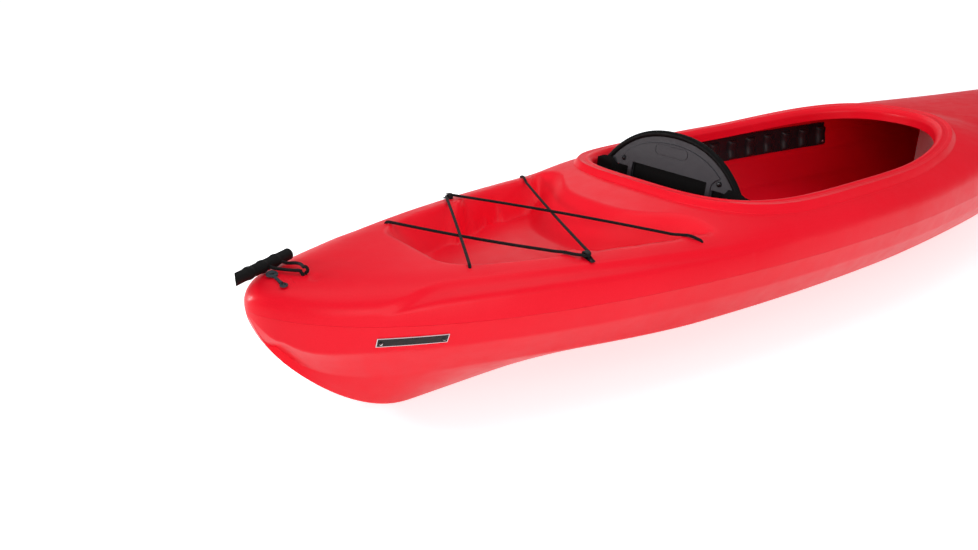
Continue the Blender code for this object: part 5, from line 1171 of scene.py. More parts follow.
def cockpit_grid(shares, fore_shares):
    """The deck round the opening: the coaming's flange, its rings, then straight to the patch's border."""
    aft_station, aft_row = (grid[0] for grid in stern_grid(np.array([PATCH_AFT]), shares))
    fore_row = mirrored(half_beam(np.array([[PATCH_FORE]])) * fore_shares[None, :])[0]
    side = np.linspace(aft_station[0], PATCH_FORE, PATCH_SIDE_STEPS + 1)[1:-1]
    start, aft_half = (float(v) for v in opening_point(np.array(PATCH_AFT_TURN)))
    end, fore_half = (float(v) for v in opening_point(np.array(PATCH_FORE_TURN)))
    aft_turn = border_turns(aft_row, aft_half, OPENING_AFT_POWER)
    fore_turn = np.pi - border_turns(fore_row, fore_half, OPENING_FORE_POWER)[::-1]
    along = start + (end - start) * (side - aft_station[0]) / (PATCH_FORE - aft_station[0])
    aft_part = np.clip((OPENING_WIDE - along) / (OPENING_WIDE - OPENING_AFT), 0.0, 1.0)
    fore_part = np.clip((along - OPENING_WIDE) / (OPENING_FORE - OPENING_WIDE), 0.0, 1.0)
    side_turn = np.arccos(aft_part ** (OPENING_AFT_POWER / 2) - fore_part ** (OPENING_FORE_POWER / 2))
    turn = np.concatenate([aft_turn, side_turn, fore_turn, -side_turn[::-1], aft_turn[:1]])
    half = half_beam(side)
    front = np.full(len(fore_row), PATCH_FORE)
    border_station = np.concatenate([aft_station, side, front, side[::-1], aft_station[:1]])
    border_y = np.concatenate([aft_row, half, fore_row[::-1], -half[::-1], aft_row[:1]])
    edge_station, edge_y = opening_point(turn)
    lip = dressed_height(edge_station, edge_y)
    upper, lower = [], []
    flange = offset_edge(edge_station, edge_y, FLANGE_OUTER)
    back = offset_edge(edge_station, edge_y, FLANGE_OUTER + WALL)
    for drop in np.linspace(FLANGE_DEPTH, 0.005, 6):
        back_drop = drop + 0.8 * WALL * (FLANGE_DEPTH - drop) / (FLANGE_DEPTH - 0.005)
        upper.append(world(*flange, lip - drop))
        lower.append(world(*back, lip - back_drop))
    for distance in np.concatenate([[-0.0011, -0.0005], np.linspace(0.0, COAMING_REACH, 41)]):
        station, y = offset_edge(edge_station, edge_y, distance)
        fall = 0.0035 * (1.0 - smoothstep(-0.0016, 0.0022, distance))
        upper.append(world(station, y, dressed_height(station, y) - fall))
        near_edge = 1.0 - smoothstep(0.0, COAMING_DISH_PLACE, max(distance, 0.0))
        inset = distance + (FLANGE_OUTER + 1.15 * WALL) * near_edge
        inner_station, inner_y = offset_edge(edge_station, edge_y, inset)
        lower.append(world(inner_station, inner_y, dressed_height(station, y) - 1.1 * WALL))
    last_station, last_y = offset_edge(edge_station, edge_y, COAMING_REACH)
    for part in np.linspace(0.0, 1.0, 19)[1:]:
        station = last_station + (border_station - last_station) * part
        y = last_y + (border_y - last_y) * part
        z = dressed_height(station, y)
        upper.append(world(station, y, z))
        lower.append(under_deck(station, y, z))
    return np.stack(upper), np.stack(lower)


def build_deck(looks):
    """The deck as one closed wall: the stern's grid, the rings round the cockpit and the foredeck's grid."""
    shares = [np.linspace(0.0, 1.0, 9)[:-1], np.linspace(1.0, 2.0, 13)[:-1], np.linspace(2.0, 3.0, 11)[:-1]]
    shares = np.concatenate(shares + [np.linspace(3.0, 4.0, 15)])
    handle_rows = [np.arange(0.0690, 0.0785, 0.0012), np.arange(0.081, 0.130, 0.003)]
    small = np.concatenate([NOSE_STATIONS[:-1]] + handle_rows)
    rows = np.concatenate([small, np.arange(0.136, 0.30, 0.012), np.linspace(0.302, PATCH_AFT, 155)])
    station, y = stern_grid(rows, shares)
    z = dressed_height(station, y)
    upper = [world(station, y, z)]
    lower = [under_deck(station, y, z)]
    fore_shares = np.sin(np.linspace(0.0, math.pi / 2, 27))
    fore_rows = np.concatenate([np.linspace(PATCH_FORE, LENGTH - 0.095, 62), LENGTH - NOSE_STATIONS[::-1]])
    fore_y = mirrored(half_beam(fore_rows)[:, None] * fore_shares[None, :])
    fore_station = np.repeat(fore_rows[:, None], fore_y.shape[1], 1)
    fore_z = dressed_height(fore_station, fore_y)
    cockpit = cockpit_grid(shares, fore_shares)
    upper += [cockpit[0][:, ::-1], world(fore_station, fore_y, fore_z)]
    lower += [cockpit[1][:, ::-1], under_deck(fore_station, fore_y, fore_z)]
    for patch in upper + lower:
        patch[..., 2] += FIT_GAP / 2
    return piece("deck_shell", *walled(upper, lower), looks["shell"], "kayak", ["deck"], "shell", 60)


# Screws, and looking up places on a finished surface


class Skin:
    """Looks up places and normals on a finished piece."""

    def __init__(self, made):
        """Keeps the piece's mesh as a search tree."""
        faces = [list(face.vertices) for face in made.data.polygons]
        self.tree = BVHTree.FromPolygons(spots_of(made.data).tolist(), faces)

    def cast(self, start, direction):
        """The first place and normal that a ray meets, or two Nones."""
        place, normal, _, _ = self.tree.ray_cast(Vector(start), Vector(direction))
        return (None, None) if place is None else (np.array(place), np.array(normal))

    def below(self, x, y, start=1.0):
        """The place and normal straight below a point."""
        return self.cast((x, y, start), (0.0, 0.0, -1.0))

    def wall(self, x, z, side):
        """Half width of the space inside at a height."""
        place, _ = self.cast((x, 0.0, z), (0.0, side, 0.0))
        return 9.0 if place is None else abs(place[1])

    def seat(self, matrix, footprint, gap):
        """Lifts a frame along its own Z until every footprint point clears the surface by the gap."""
        lift = -1.0
        for x, y in footprint:
            spot = placed([(x, y, 0.05)], matrix)[0]
            place, _ = self.cast(spot, -matrix[:3, 2])
            lift = max(lift, 0.05 - float((spot - place) @ matrix[:3, 2]))
        raised = matrix.copy()
        raised[:3, 3] += matrix[:3, 2] * (lift + gap)
        return raised


def shaft_of(name):
    """The frame of a CAD screw: its origin under the middle of the head, Z out along its shaft."""
    spots = np.unique(np.round(spots_of(bpy.data.objects[name].data), 7), axis=0)
    centre = spots.mean(axis=0)
    _, _, axes = np.linalg.svd(spots - centre, full_matrices=False)
    along = (spots - centre) @ axes.T
    wide = [np.linalg.norm(along[:, [j for j in range(3) if j != k]], axis=1) for k in range(3)]
    best = min(range(3), key=lambda k: round_error(along[:, k], wide[k]))
    axis = axes[best]
    at = along[:, best]
    off = wide[best]
    if at[off > 0.7 * off.max()].mean() < 0:
        axis, at = -axis, -at
    head = at[off > 0.9 * off.max()].min()
    guide = (1.0, 0.0, 0.0) if abs(axis[0]) < 0.9 else (0.0, 1.0, 0.0)
    return frame_of(centre + axis * head, axis, guide), float(off.max())


def round_error(at, off):
    """How far points are from lying on circles round an axis: the spread of their radii at each height."""
    level = np.round(at, 5)
    return sum(np.ptp(off[level == value]) for value in np.unique(level))


def pan_screw(name, cad, look, body, slot="screws"):
    """A pan-head screw with a cross recess: a dome over the radius, less a smooth cross, on a short shank."""
    matrix, radius = shaft_of(cad)
    part = np.concatenate([np.linspace(0.0, 0.96, 15), [1.0, 1.0, 0.93, 0.45, 0.45, 0.0]])
    turn = 2.0 * np.pi * np.arange(32) / 32
    dome = 0.55 * radius * np.sqrt(np.clip(1.0 - (0.93 * part[:16]) ** 3, 0.0, 1.0))
    height = np.concatenate([dome, [0.0, 0.0, 0.0, -1.6 * radius, -1.6 * radius]])
    height[15] = 0.10 * radius
    r, t = np.meshgrid(part, turn, indexing="ij")
    z = np.repeat(height[:, None], len(turn), 1)
    arm = np.minimum(np.abs(r * np.cos(t)), np.abs(r * np.sin(t)))
    reach = np.maximum(np.abs(r * np.cos(t)), np.abs(r * np.sin(t)))
    cross = (1.0 - smoothstep(0.07, 0.14, arm)) * (1.0 - smoothstep(0.42, 0.56, reach))
    z[:15] -= 0.30 * radius * cross[:15]
    points = np.stack([radius * r * np.cos(t), radius * r * np.sin(t), z], -1)
    points, faces, _ = weld(placed(points.reshape(-1, 3), matrix), lattice(len(part), len(turn), ring=True))
    return piece(name, points, faces, look, body, [cad], slot, 40)


# Shock cords and their hooks


def hook_outline():
    """Side view of a cord hook, outboard and up: foot, post and a lip over the cord."""
    post = HOOK_WIDTH / 2
    return [
        (-post, 0.0), (HOOK_TAIL, 0.0), (HOOK_TAIL, 0.7 * HOOK_FOOT), (HOOK_TAIL - 0.003, HOOK_FOOT),
        (0.0, HOOK_FOOT), (0.0, HOOK_HEIGHT - 0.0026), (2.1 * post, HOOK_HEIGHT - 0.0022),
        (1.8 * post, HOOK_HEIGHT - 0.0004),
        (0.4 * post, HOOK_HEIGHT), (-0.7 * post, HOOK_HEIGHT - 0.0008), (-post, HOOK_HEIGHT - 0.003),
    ]


def build_hooks(deck, looks):
    """Both moulded cord hooks: the side view as a slab with rounded rims, held by a screw."""
    frames = {}
    for side, word in ((1.0, "port"), (-1.0, "starboard")):
        place, normal = deck.below(x_of(HOOK_STATION), side * HOOK_SIDE)
        matrix = frame_of(place, normal, (0.0, side, 0.0))
        half = HOOK_WIDTH / 2
        reach = [(x, y) for x in np.linspace(-half, HOOK_TAIL, 6) for y in (-half, 0.0, half)]
        matrix = deck.seat(matrix, reach, FIT_GAP)
        rounds = [0.0008, 0.001, 0.001, 0.002, 0.0012, 0.0012, 0.001, 0.001, 0.003, 0.003, 0.002]
        outline = rounded(hook_outline(), rounds, 4)
        points, faces = slab(outline, -half, half, HOOK_RIM)
        points = placed(points[:, [0, 2, 1]] * np.array([1.0, -1.0, 1.0]), matrix)
        piece(f"cord_hook_{word}_dressed", points, faces, looks["black"], "kayak", [f"cord_hook_{word}"],
              "fittings", 30)
        pan_screw(f"hook_screw_{word}_dressed", f"hook_screw_{word}", looks["dark_steel"], "kayak")
        frames[side] = matrix
    return frames


def hook_turn(matrix, side, sweep):
    """The cord's way round the outboard side of a hook's post, as world points from one side to the other."""
    radius = 0.5 * math.hypot(HOOK_WIDTH, HOOK_WIDTH / 2) + CORD_RADIUS + 0.0012
    turn = np.linspace(-sweep, sweep, 7)
    height = np.full(7, HOOK_FOOT + CORD_RADIUS + 0.0005)
    local = np.stack([-0.25 * HOOK_WIDTH + radius * np.cos(turn), side * radius * np.sin(turn), height], -1)
    return placed(local, matrix)


def hole_exit(place, toward):
    """The cord's bend from its deck hole to its straight run."""
    along = unit(np.array([toward[0], toward[1], 0.0]))
    turn = np.linspace(0.0, math.pi / 2, 6)[:, None]
    start = place - UP * CORD_SINK
    return start + UP * CORD_BEND * np.sin(turn) + along * CORD_BEND * (1.0 - np.cos(turn))


def straight_run(start, end, sag, deck):
    """Points between two ends, bowed by a sag and kept clear of the deck."""
    count = max(int(np.linalg.norm(end - start) / CORD_STEP), 3)
    points = []
    for part in np.linspace(0.0, 1.0, count + 1)[1:-1]:
        point = start + (end - start) * part
        point[2] += sag * math.sin(math.pi * part)
        for x, y in ((0.0, 0.0), (1.0, 0.0), (-1.0, 0.0), (0.0, 1.0), (0.0, -1.0)):
            floor, _ = deck.below(point[0] + x * CORD_RADIUS, point[1] + y * CORD_RADIUS)
            point[2] = max(point[2], floor[2] + CORD_RADIUS + CORD_LIFT)
        points.append(point)
    return np.array(points)


def build_shock_cords(deck, frames, looks):
    """Two elastic cords, each from a hole aft, round the other side's hook and back to a hole forward."""
    for side, word, sag in ((1.0, "lower", -CORD_SAG), (-1.0, "upper", CORD_SAG)):
        first, _ = deck.below(x_of(CORD_AFT_STATION), side * CORD_AFT_SIDE)
        last, _ = deck.below(x_of(CORD_FORE_STATION), side * CORD_FORE_SIDE)
        turn = hook_turn(frames[-side], side, HOOK_SWEEP)
        if turn[0][0] > turn[-1][0]:
            turn = turn[::-1]
        rise = hole_exit(first, turn[0] - first)
        fall = hole_exit(last, turn[-1] - last)[::-1]
        start = first - UP * (WALL + CORD_TAIL)
        end = last - UP * (WALL + CORD_TAIL)
        legs = [np.linspace(start, rise[0], 4)[:-1], rise, straight_run(rise[-1], turn[0], sag, deck), turn]
        legs += [straight_run(turn[-1], fall[0], sag, deck), fall, np.linspace(fall[-1], end, 4)[1:]]
        path = smooth_path(np.concatenate(legs), 0.004)
        made = tube(f"bungee_{word}", path, 16, CORD_RADIUS, looks["cord"], "kayak", [f"shock_cord_{word}"],
                    "cord")


# Carry handles


def grip_profile(spare):
    """Outside and bore of the tube grip: a thin tube with three broad finger rings and a lip at each end.
    The outboard end is longer by what the slanting cut takes off again."""
    half = GRIP_LENGTH / 2
    at = np.linspace(-half + 0.0016, half - 0.0016, 81)
    rings = sum(np.exp(-(np.abs((at - centre) / 0.0058) ** 2.6)) for centre in GRIP_RINGS)
    flare = np.exp(-((half - np.abs(at)) / 0.0035))
    outer = np.stack([GRIP_RADIUS + GRIP_RIB * rings + 0.0005 * flare, at], -1)
    ends = GRIP_RADIUS + 0.0004
    lip = [(ends - 0.0006, half - 0.0004), (ends - 0.0013, half), (GRIP_BORE + 0.0004, half)]
    tip = -half - spare
    near = [(GRIP_BORE + 0.0004, tip), (ends - 0.0013, tip)]
    near += [(ends - 0.0006, tip + 0.0004), (ends - 0.0004, tip + 0.002)]
    bore = [(GRIP_BORE, height) for height in (half - 0.0006, 0.3 * half, -0.3 * half, tip + 0.0006)]
    return np.concatenate([near, outer, lip, bore, near[:1]])


def grip_slit(centre, axis, sideways):
    """A wedge that slants the grip's outboard end, as the soft tube is cut."""
    slant = np.array([(0.040, -0.020), (0.0185, -0.020), (-0.0215, 0.020), (0.040, 0.020)])
    points, faces = slab(slant[::-1], -0.03, 0.03)
    end = centre - axis * GRIP_LENGTH / 2
    turned = np.outer(points[:, 0], -axis) + np.outer(points[:, 1], sideways) + np.outer(points[:, 2], UP)
    return turned + end, faces


def build_handle(word, bow, deck, looks):
    """A moulded tube grip on a looped cord that passes down through the deck."""
    mirror = -1.0 if bow else 1.0
    station = LENGTH - HANDLE_HOLE_STATION if bow else HANDLE_HOLE_STATION
    place, _ = deck.below(x_of(station), HANDLE_HOLE_SIDE)
    grip_x = mirror * x_of(GRIP_STATION)
    axis = np.array([mirror * math.cos(GRIP_TURN), math.sin(GRIP_TURN), 0.0])
    sideways = np.array([-axis[1], axis[0], 0.0])
    reach = GRIP_RADIUS + 1.1 * GRIP_RIB
    level = -1.0
    for at in np.linspace(-0.5, 0.5, 25):
        for part in (-1.0, -0.8, -0.5, -0.2, 0.0, 0.2, 0.5, 0.8, 1.0):
            spot = np.array([grip_x, GRIP_SIDE, 0.0]) + axis * at * GRIP_LENGTH + sideways * part * reach
            hit, _ = deck.below(spot[0], spot[1])
            if hit is not None:
                level = max(level, hit[2] + reach * math.sqrt(1.0 - part**2))
    centre = np.array([grip_x, GRIP_SIDE, level + FIT_GAP])
    tube_wall = spun(grip_profile(GRIP_SPARE), 48, frame_of(centre, axis, UP))
    body = f"{word}_handle"
    grip = piece(f"{word}_grip", *tube_wall, looks["grip"], body, [f"{word}_handle_grip"], "fittings", 30)
    inner = place - UP * LANDING_DEPTH
    toward = inner - centre
    toward = unit(toward - axis * float(toward @ axis))
    away = np.array([toward[0], toward[1], 0.0]) / np.hypot(toward[0], toward[1])
    strands = []
    cuts = []
    for shift, sway, turn, sign in zip(STRAND_EXITS, STRAND_SWAYS, RING_TURNS, (-1.0, 1.0)):
        inside = centre + axis * shift
        leave = inside + toward * (GRIP_RADIUS + GRIP_RIB + STRAND_LEAVE)
        start = leave + away * STRAND_LEAD
        landing = inner + axis * sign * STRAND_SPACING / 2
        middle = landing + UP * (RING_RADIUS + HANDLE_CORD_RADIUS + RING_LIFT)
        round_hole = [middle + RING_RADIUS * (away * math.cos(t) + UP * math.sin(t)) for t in turn]
        ring = round_hole[0]
        path = [inside, inside + toward * 0.5 * GRIP_RADIUS, leave]
        for part in (0.0, 0.25, 0.5, 0.75, 1.0):
            spot = start + (ring - start) * part
            spot = spot + axis * sway * math.sin(math.pi * part)
            floor, _ = deck.below(spot[0], spot[1])
            spot[2] = max(spot[2], floor[2] + HANDLE_CORD_RADIUS + STRAND_LIFT)
            path.append(spot)
        strands.append(path + round_hole[1:] + [landing])
        cuts.append(rod(inside, toward, HANDLE_CORD_RADIUS + STRAND_ROOM, 0.0, 0.03))
    carved(grip, cuts + [grip_slit(centre, axis, sideways)])
    nick = centre - axis * (GRIP_LENGTH / 2 - 0.0010) - UP * 0.0010
    carved(grip, [rod(nick, axis + sideways, GRIP_NICK, 0.04, 0.04)])
    path = smooth_path(np.array(strands[0][::-1] + strands[1]), 0.0025)
    made = tube(f"{word}_cord", path, 16, HANDLE_CORD_RADIUS, looks["cord"], body, [f"{word}_handle_cord"],
                "cord")


# Drain plug


def build_drain_plug(deck, looks):
    """A rubber plug: a dished head with a finger rim, a ribbed stem, a thin strap and a round anchor."""
    x = x_of(PLUG_STATION)
    head_place, _ = deck.below(x, PLUG_SIDE)
    anchor_place, _ = deck.below(x, ANCHOR_SIDE)
    along = head_place - anchor_place
    distance = float(np.linalg.norm(along))
    along = along / distance
    matrix = frame_of(anchor_place, np.cross(np.array([1.0, 0.0, 0.0]), along), along)
    turn = np.linspace(0, 6, 9)
    spots = [(r * math.cos(t), r * math.sin(t)) for r in (0.5 * ANCHOR_RADIUS, ANCHOR_RADIUS) for t in turn]
    spots += [(distance + PLUG_HEAD_RADIUS * math.cos(t), PLUG_HEAD_RADIUS * math.sin(t)) for t in turn]
    spots += [(part * distance, side * STRAP_WIDTH / 2) for part in np.linspace(0, 1, 9) for side in (-1, 1)]
    matrix = deck.seat(matrix, spots, FIT_GAP)
    r, h = 0.78 * ANCHOR_RADIUS, ANCHOR_HEIGHT
    ring = [
        (0.0026, 0.0), (0.96 * r, 0.0), (r, 0.12 * h), (r, 0.55 * h), (0.97 * r, 0.8 * h),
        (0.9 * r, 0.95 * h),
        (0.82 * r, h), (0.55 * r, h), (0.5 * r, 0.9 * h), (0.0026, 0.9 * h), (0.0026, 0.0),
    ]
    anchor = spun(ring, 48, matrix)
    piece("drain_plug_anchor_dressed", *anchor, looks["slate"], "kayak", ["drain_plug_anchor"], "plug", 40)
    pan_screw("anchor_screw_dressed", "anchor_screw", looks["dark_steel"], "kayak")
    plug = matrix.copy()
    plug[:3, 3] = placed([(distance, 0.0, 0.0)], matrix)[0]
    r, h, stem, deep = PLUG_HEAD_RADIUS, PLUG_HEAD_HEIGHT, PLUG_STEM_RADIUS, PLUG_STEM_LENGTH
    head = [
        (0.0, -deep), (0.7 * stem, -deep), (0.85 * stem, -0.94 * deep), (0.92 * stem, -0.7 * deep),
        (stem, -0.6 * deep), (0.9 * stem, -0.45 * deep), (stem, -0.3 * deep), (0.9 * stem, -0.1 * deep),
        (0.9 * stem, 0.0), (0.94 * r, 0.0), (r, 0.12 * h), (r, 0.6 * h), (0.96 * r, 0.85 * h), (0.88 * r, h),
        (0.76 * r, h), (0.68 * r, 0.84 * h), (0.62 * r, 0.62 * h), (0.44 * r, 0.62 * h), (0.38 * r, 0.5 * h),
        (0.36 * r, -0.5 * h), (0.30 * r, -0.7 * h), (0.0, -0.7 * h),
    ]
    made = piece("drain_plug_dressed", *spun(head, 48, plug), looks["slate"], "drain_plug", ["drain_plug"],
                 "plug", 40)
    low, high = ANCHOR_RADIUS + 0.0016, distance - 0.6 * PLUG_HEAD_RADIUS
    at = np.linspace(low, high, 25)
    waist = 0.5 * STRAP_WIDTH * (1.0 - STRAP_WAIST * np.sin(math.pi * (at - low) / (high - low)))
    outline = np.concatenate([np.stack([at, -waist], -1), np.stack([at[::-1], waist[::-1]], -1)])
    points, faces = slab(outline, 0.0, STRAP_THICKNESS, 0.0006)
    carved(made, [(placed(points, matrix), faces)], "UNION")
    made.data.set_sharp_from_angle(angle=math.radians(40))


# Side plate


def plate_points(hull, lift, low, high, bottom, top, columns, rows):
    """A strip of the starboard flank between two stations and two heights, raised off the hull by a lift."""
    out = np.zeros((columns, rows, 3))
    span = PLATE_STATIONS[1] - PLATE_STATIONS[0]
    for i, station in enumerate(np.linspace(low, high, columns)):
        for j, height in enumerate(np.linspace(bottom, top, rows)):
            fall = PLATE_FALL * (station - PLATE_STATIONS[0]) / span
            place, normal = hull.cast((x_of(station), -2.0, height - fall), (0.0, 1.0, 0.0))
            out[i, j] = place + normal * lift
    return out


def build_plate(hull, looks):
    """The blank plate: a black face inside a pale raised border, held by two rivets."""
    low, high = PLATE_STATIONS
    bottom, top = PLATE_HEIGHTS
    whole = (low, high, bottom, top, 41, 9)
    edge = PLATE_BORDER
    inner = (low + edge, high - edge, bottom + edge, top - edge, 41, 9)
    surface = PLATE_LIFT + PLATE_DEPTH
    back = plate_points(hull, PLATE_LIFT, *whole)
    face = plate_points(hull, surface, *whole)
    piece("side_plate_border", *walled([face], [back]), looks["pale"], "kayak", ["side_plate"],
          "nameless_plate", 30)
    back = plate_points(hull, surface - 0.0002, *inner)
    face = plate_points(hull, surface + 0.00015, *inner)
    piece("side_plate_face", *walled([face], [back]), looks["enamel"], "kayak", (), "nameless_plate", 30)
    for index in (1, 2):
        cad = f"plate_rivet_{index}"
        matrix, radius = shaft_of(cad)
        profile = [
            (0.0, -0.0004), (radius, -0.0004), (radius, 0.0003), (0.92 * radius, 0.0008),
            (0.75 * radius, 0.0013), (0.5 * radius, 0.0016), (0.36 * radius, 0.0016), (0.30 * radius, 0.0009),
            (0.0, 0.0008),
        ]
        points, faces = spun(profile, 36, matrix)
        piece(f"plate_rivet_{index}_dressed", points, faces, looks["steel"], "kayak", [cad], "screws", 40)


# Seat back


def back_matrix():
    """The seat back's own frame in the world: X forward, Y port, Z up the plate, origin on the pivot."""
    matrix = np.array(Matrix.Rotation(-BACK_LEAN, 4, "Y"))
    matrix[:3, 3] = (x_of(BACK_PIVOT_STATION), 0.0, BACK_PIVOT_HEIGHT)
    return matrix


def back_outline(grow=0.0):
    """(y, height) round the seat back's plate, counter-clockwise: foot, flared sides, a squarish oval top."""
    start = math.asin((BACK_SHOULDER / BACK_TOP) ** (BACK_POWER / 2))
    shoulder = BACK_HALF * math.cos(start) ** (2 / BACK_POWER)
    part = np.linspace(0.0, 1.0, 17)[1:-1]
    flare = BACK_FOOT_HALF + (shoulder - BACK_FOOT_HALF) * smoothstep(0.0, 1.0, part) ** 0.9
    side = np.stack([flare, BACK_FOOT + (BACK_SHOULDER - BACK_FOOT) * part], -1)
    turn = np.linspace(start, math.pi - start, 97)
    across = np.sign(np.cos(turn)) * np.abs(np.cos(turn)) ** (2 / BACK_POWER)
    top = np.stack([BACK_HALF * across, BACK_TOP * np.sin(turn) ** (2 / BACK_POWER)], -1)
    foot = np.array([(-BACK_FOOT_HALF, BACK_FOOT), (BACK_FOOT_HALF, BACK_FOOT)])
    points = np.concatenate([foot, side, top, side[::-1] * np.array([-1.0, 1.0])])
    along = np.roll(points, -1, axis=0) - np.roll(points, 1, axis=0)
    normal = np.stack([along[:, 1], -along[:, 0]], -1)
    return points + grow * normal / np.linalg.norm(normal, axis=1, keepdims=True)


def stadium(half_width, height, centre, steps=14):
    """A closed (y, height) outline: two half circles joined by straight sides."""
    radius = height / 2
    turn = np.linspace(-math.pi / 2, math.pi / 2, steps)
    right = np.stack([half_width - radius + radius * np.cos(turn), centre + radius * np.sin(turn)], -1)
    left = np.stack([-right[:, 0], 2.0 * centre - right[:, 1]], -1)
    return np.concatenate([right, left])


def back_slab(outline, low, high, matrix, edge=0.0):
    """A slab on a (y, z) outline between two x values in the seat back's frame."""
    points, faces = slab(outline, low, high, edge)
    return placed(points[:, [2, 0, 1]], matrix), faces


def build_seat_back(looks):
    """Plate with strap windows, a raised panel with a blank oval, cheeks, bolts, a thick rim and the
    strap."""
    matrix = back_matrix()
    rear = PLATE_REAR
    front = rear + BACK_THICKNESS
    points, faces = back_slab(back_outline(PLATE_GROWTH), rear, front, matrix, 0.0012)
    plate = piece("back_plate", points, faces, looks["charcoal"], "seat_back", ["seat_back_plate"], "plate",
                  30)
    arc = back_outline(-PANEL_INSET)
    arc = arc[(np.abs(arc[:, 0]) < PANEL_SIDE) & (arc[:, 1] > 0.15)]
    panel = np.concatenate([PANEL_FOOT, arc, [(-y, height) for y, height in PANEL_FOOT[::-1]]])
    face = rear - PANEL_RISE
    points, faces = back_slab(panel, face, rear + 0.0025, matrix, 0.0018)
    raised = piece("back_panel", points, faces, looks["charcoal"], "seat_back", (), "plate", 30)
    cheeks = []
    for side in (1.0, -1.0):
        outline = [(rear + 0.001, 0.016), (rear + 0.001, 0.070), (front, 0.070), (0.011, 0.020)]
        outline += [(0.011, -0.006), (0.004, -0.011), (-0.006, -0.011)]
        outline = rounded(outline[::-1], [0.003, 0.003, 0.003, 0.003, 0.001, 0.001, 0.003])
        low, high = sorted((side * CHEEK_INNER, side * CHEEK_OUTER))
        points, faces = slab(outline, low, high, 0.0005)
        cheeks.append((placed(points[:, [0, 2, 1]], matrix), faces))
    carved(plate, cheeks, "UNION")
    cuts = []
    for low, high in ((-BAR_INNER, BAR_INNER), (BAR_OUTER, WINDOW_OUTER), (-WINDOW_OUTER, -BAR_OUTER)):
        top = WINDOW_HIGH if abs(low + high) < 1e-6 else SIDE_WINDOW_HIGH
        window = rounded([(low, WINDOW_LOW), (high, WINDOW_LOW), (high, top), (low, top)], 0.004)
        cuts.append(back_slab(window, rear - 0.01, front + 0.01, matrix))
    recess = stadium(RECESS_HALF, RECESS_HEIGHT, RECESS_CENTRE)
    cuts.append(back_slab(recess, rear - 0.01, face + 0.0010, matrix))
    for made in (plate, raised):
        carved(made, cuts)
        made.data.set_sharp_from_angle(angle=math.radians(30))
        flat_faces(made)
    oval = stadium(RECESS_HALF - OVAL_INSET, RECESS_HEIGHT - 2 * OVAL_INSET, RECESS_CENTRE)
    points, faces = back_slab(oval, face - 0.0002, face + 0.0012, matrix, 0.0006)
    flat_faces(piece("back_panel_oval", points, faces, looks["charcoal"], "seat_back", (), "plate", 30))
    for word in ("port", "starboard"):
        pan_screw(f"seat_back_bolt_{word}_dressed", f"seat_back_bolt_{word}", looks["dark_steel"],
                  "seat_back")
    outline = back_outline(RIM_RADIUS + FIT_GAP + 0.0002)[2:]
    rim = np.stack([np.full(len(outline), (rear + front) / 2), outline[:, 0], outline[:, 1]], -1)
    path = smooth_path(placed(rim, matrix), 0.006)
    tube("back_rim", path, 20, RIM_RADIUS, looks["rubber"], "seat_back", ["seat_back_rim"], "rim")
    band = (WINDOW_LOW + WINDOW_HIGH - WEBBING_HEIGHT) / 2
    columns = np.linspace(-WEBBING_REACH, WEBBING_REACH, 200)
    across, up = np.meshgrid(columns, np.linspace(0.0, 1.0, 14), indexing="ij")
    off = np.abs(across)
    crest = WINDOW_HIGH - 0.0015 + (SIDE_WINDOW_HIGH + 0.0010 - WINDOW_HIGH) * smoothstep(0.112, 0.126, off)
    crest = crest + 0.0045 * smoothstep(0.118, 0.126, off) * (1.0 - smoothstep(0.151, 0.157, off))
    crest = crest + 0.013 * smoothstep(0.163, 0.180, off) - 0.010 * smoothstep(0.200, WEBBING_REACH, off)
    y, z = across, band + (crest - band) * up
    edge = np.minimum(z - band, crest - z)
    thin = 0.25 + 0.75 * np.sqrt(np.clip(edge / 0.0015, 0.0, 1.0))
    inside = front + FIT_GAP + WEBBING_THICKNESS / 2
    outside = rear - FIT_GAP - WEBBING_THICKNESS / 2
    over_rim = (rear + front) / 2 - RIM_RADIUS - FIT_GAP - WEBBING_THICKNESS / 2
    middle = inside + (outside - inside) * smoothstep(0.153, 0.167, off)
    middle = middle + (over_rim - outside) * smoothstep(0.164, 0.178, off)
    middle = middle + 0.009 * smoothstep(0.222, WEBBING_REACH, off)
    sheets = [np.stack([middle + s * thin * WEBBING_THICKNESS / 2, y, z], -1) for s in (-1.0, 1.0)]
    points, faces = walled([placed(sheets[0], matrix)], [placed(sheets[1], matrix)])
    piece("back_strap", points, faces, looks["webbing"], "seat_back", ["seat_back_webbing"], "webbing", 60)


# Seat pan


def floor_point(hull, station, y, lift):
    """A point this far off the hull's inner floor, along the floor's normal."""
    place, normal = hull.below(x_of(station), y, 0.2)
    return place + normal * lift


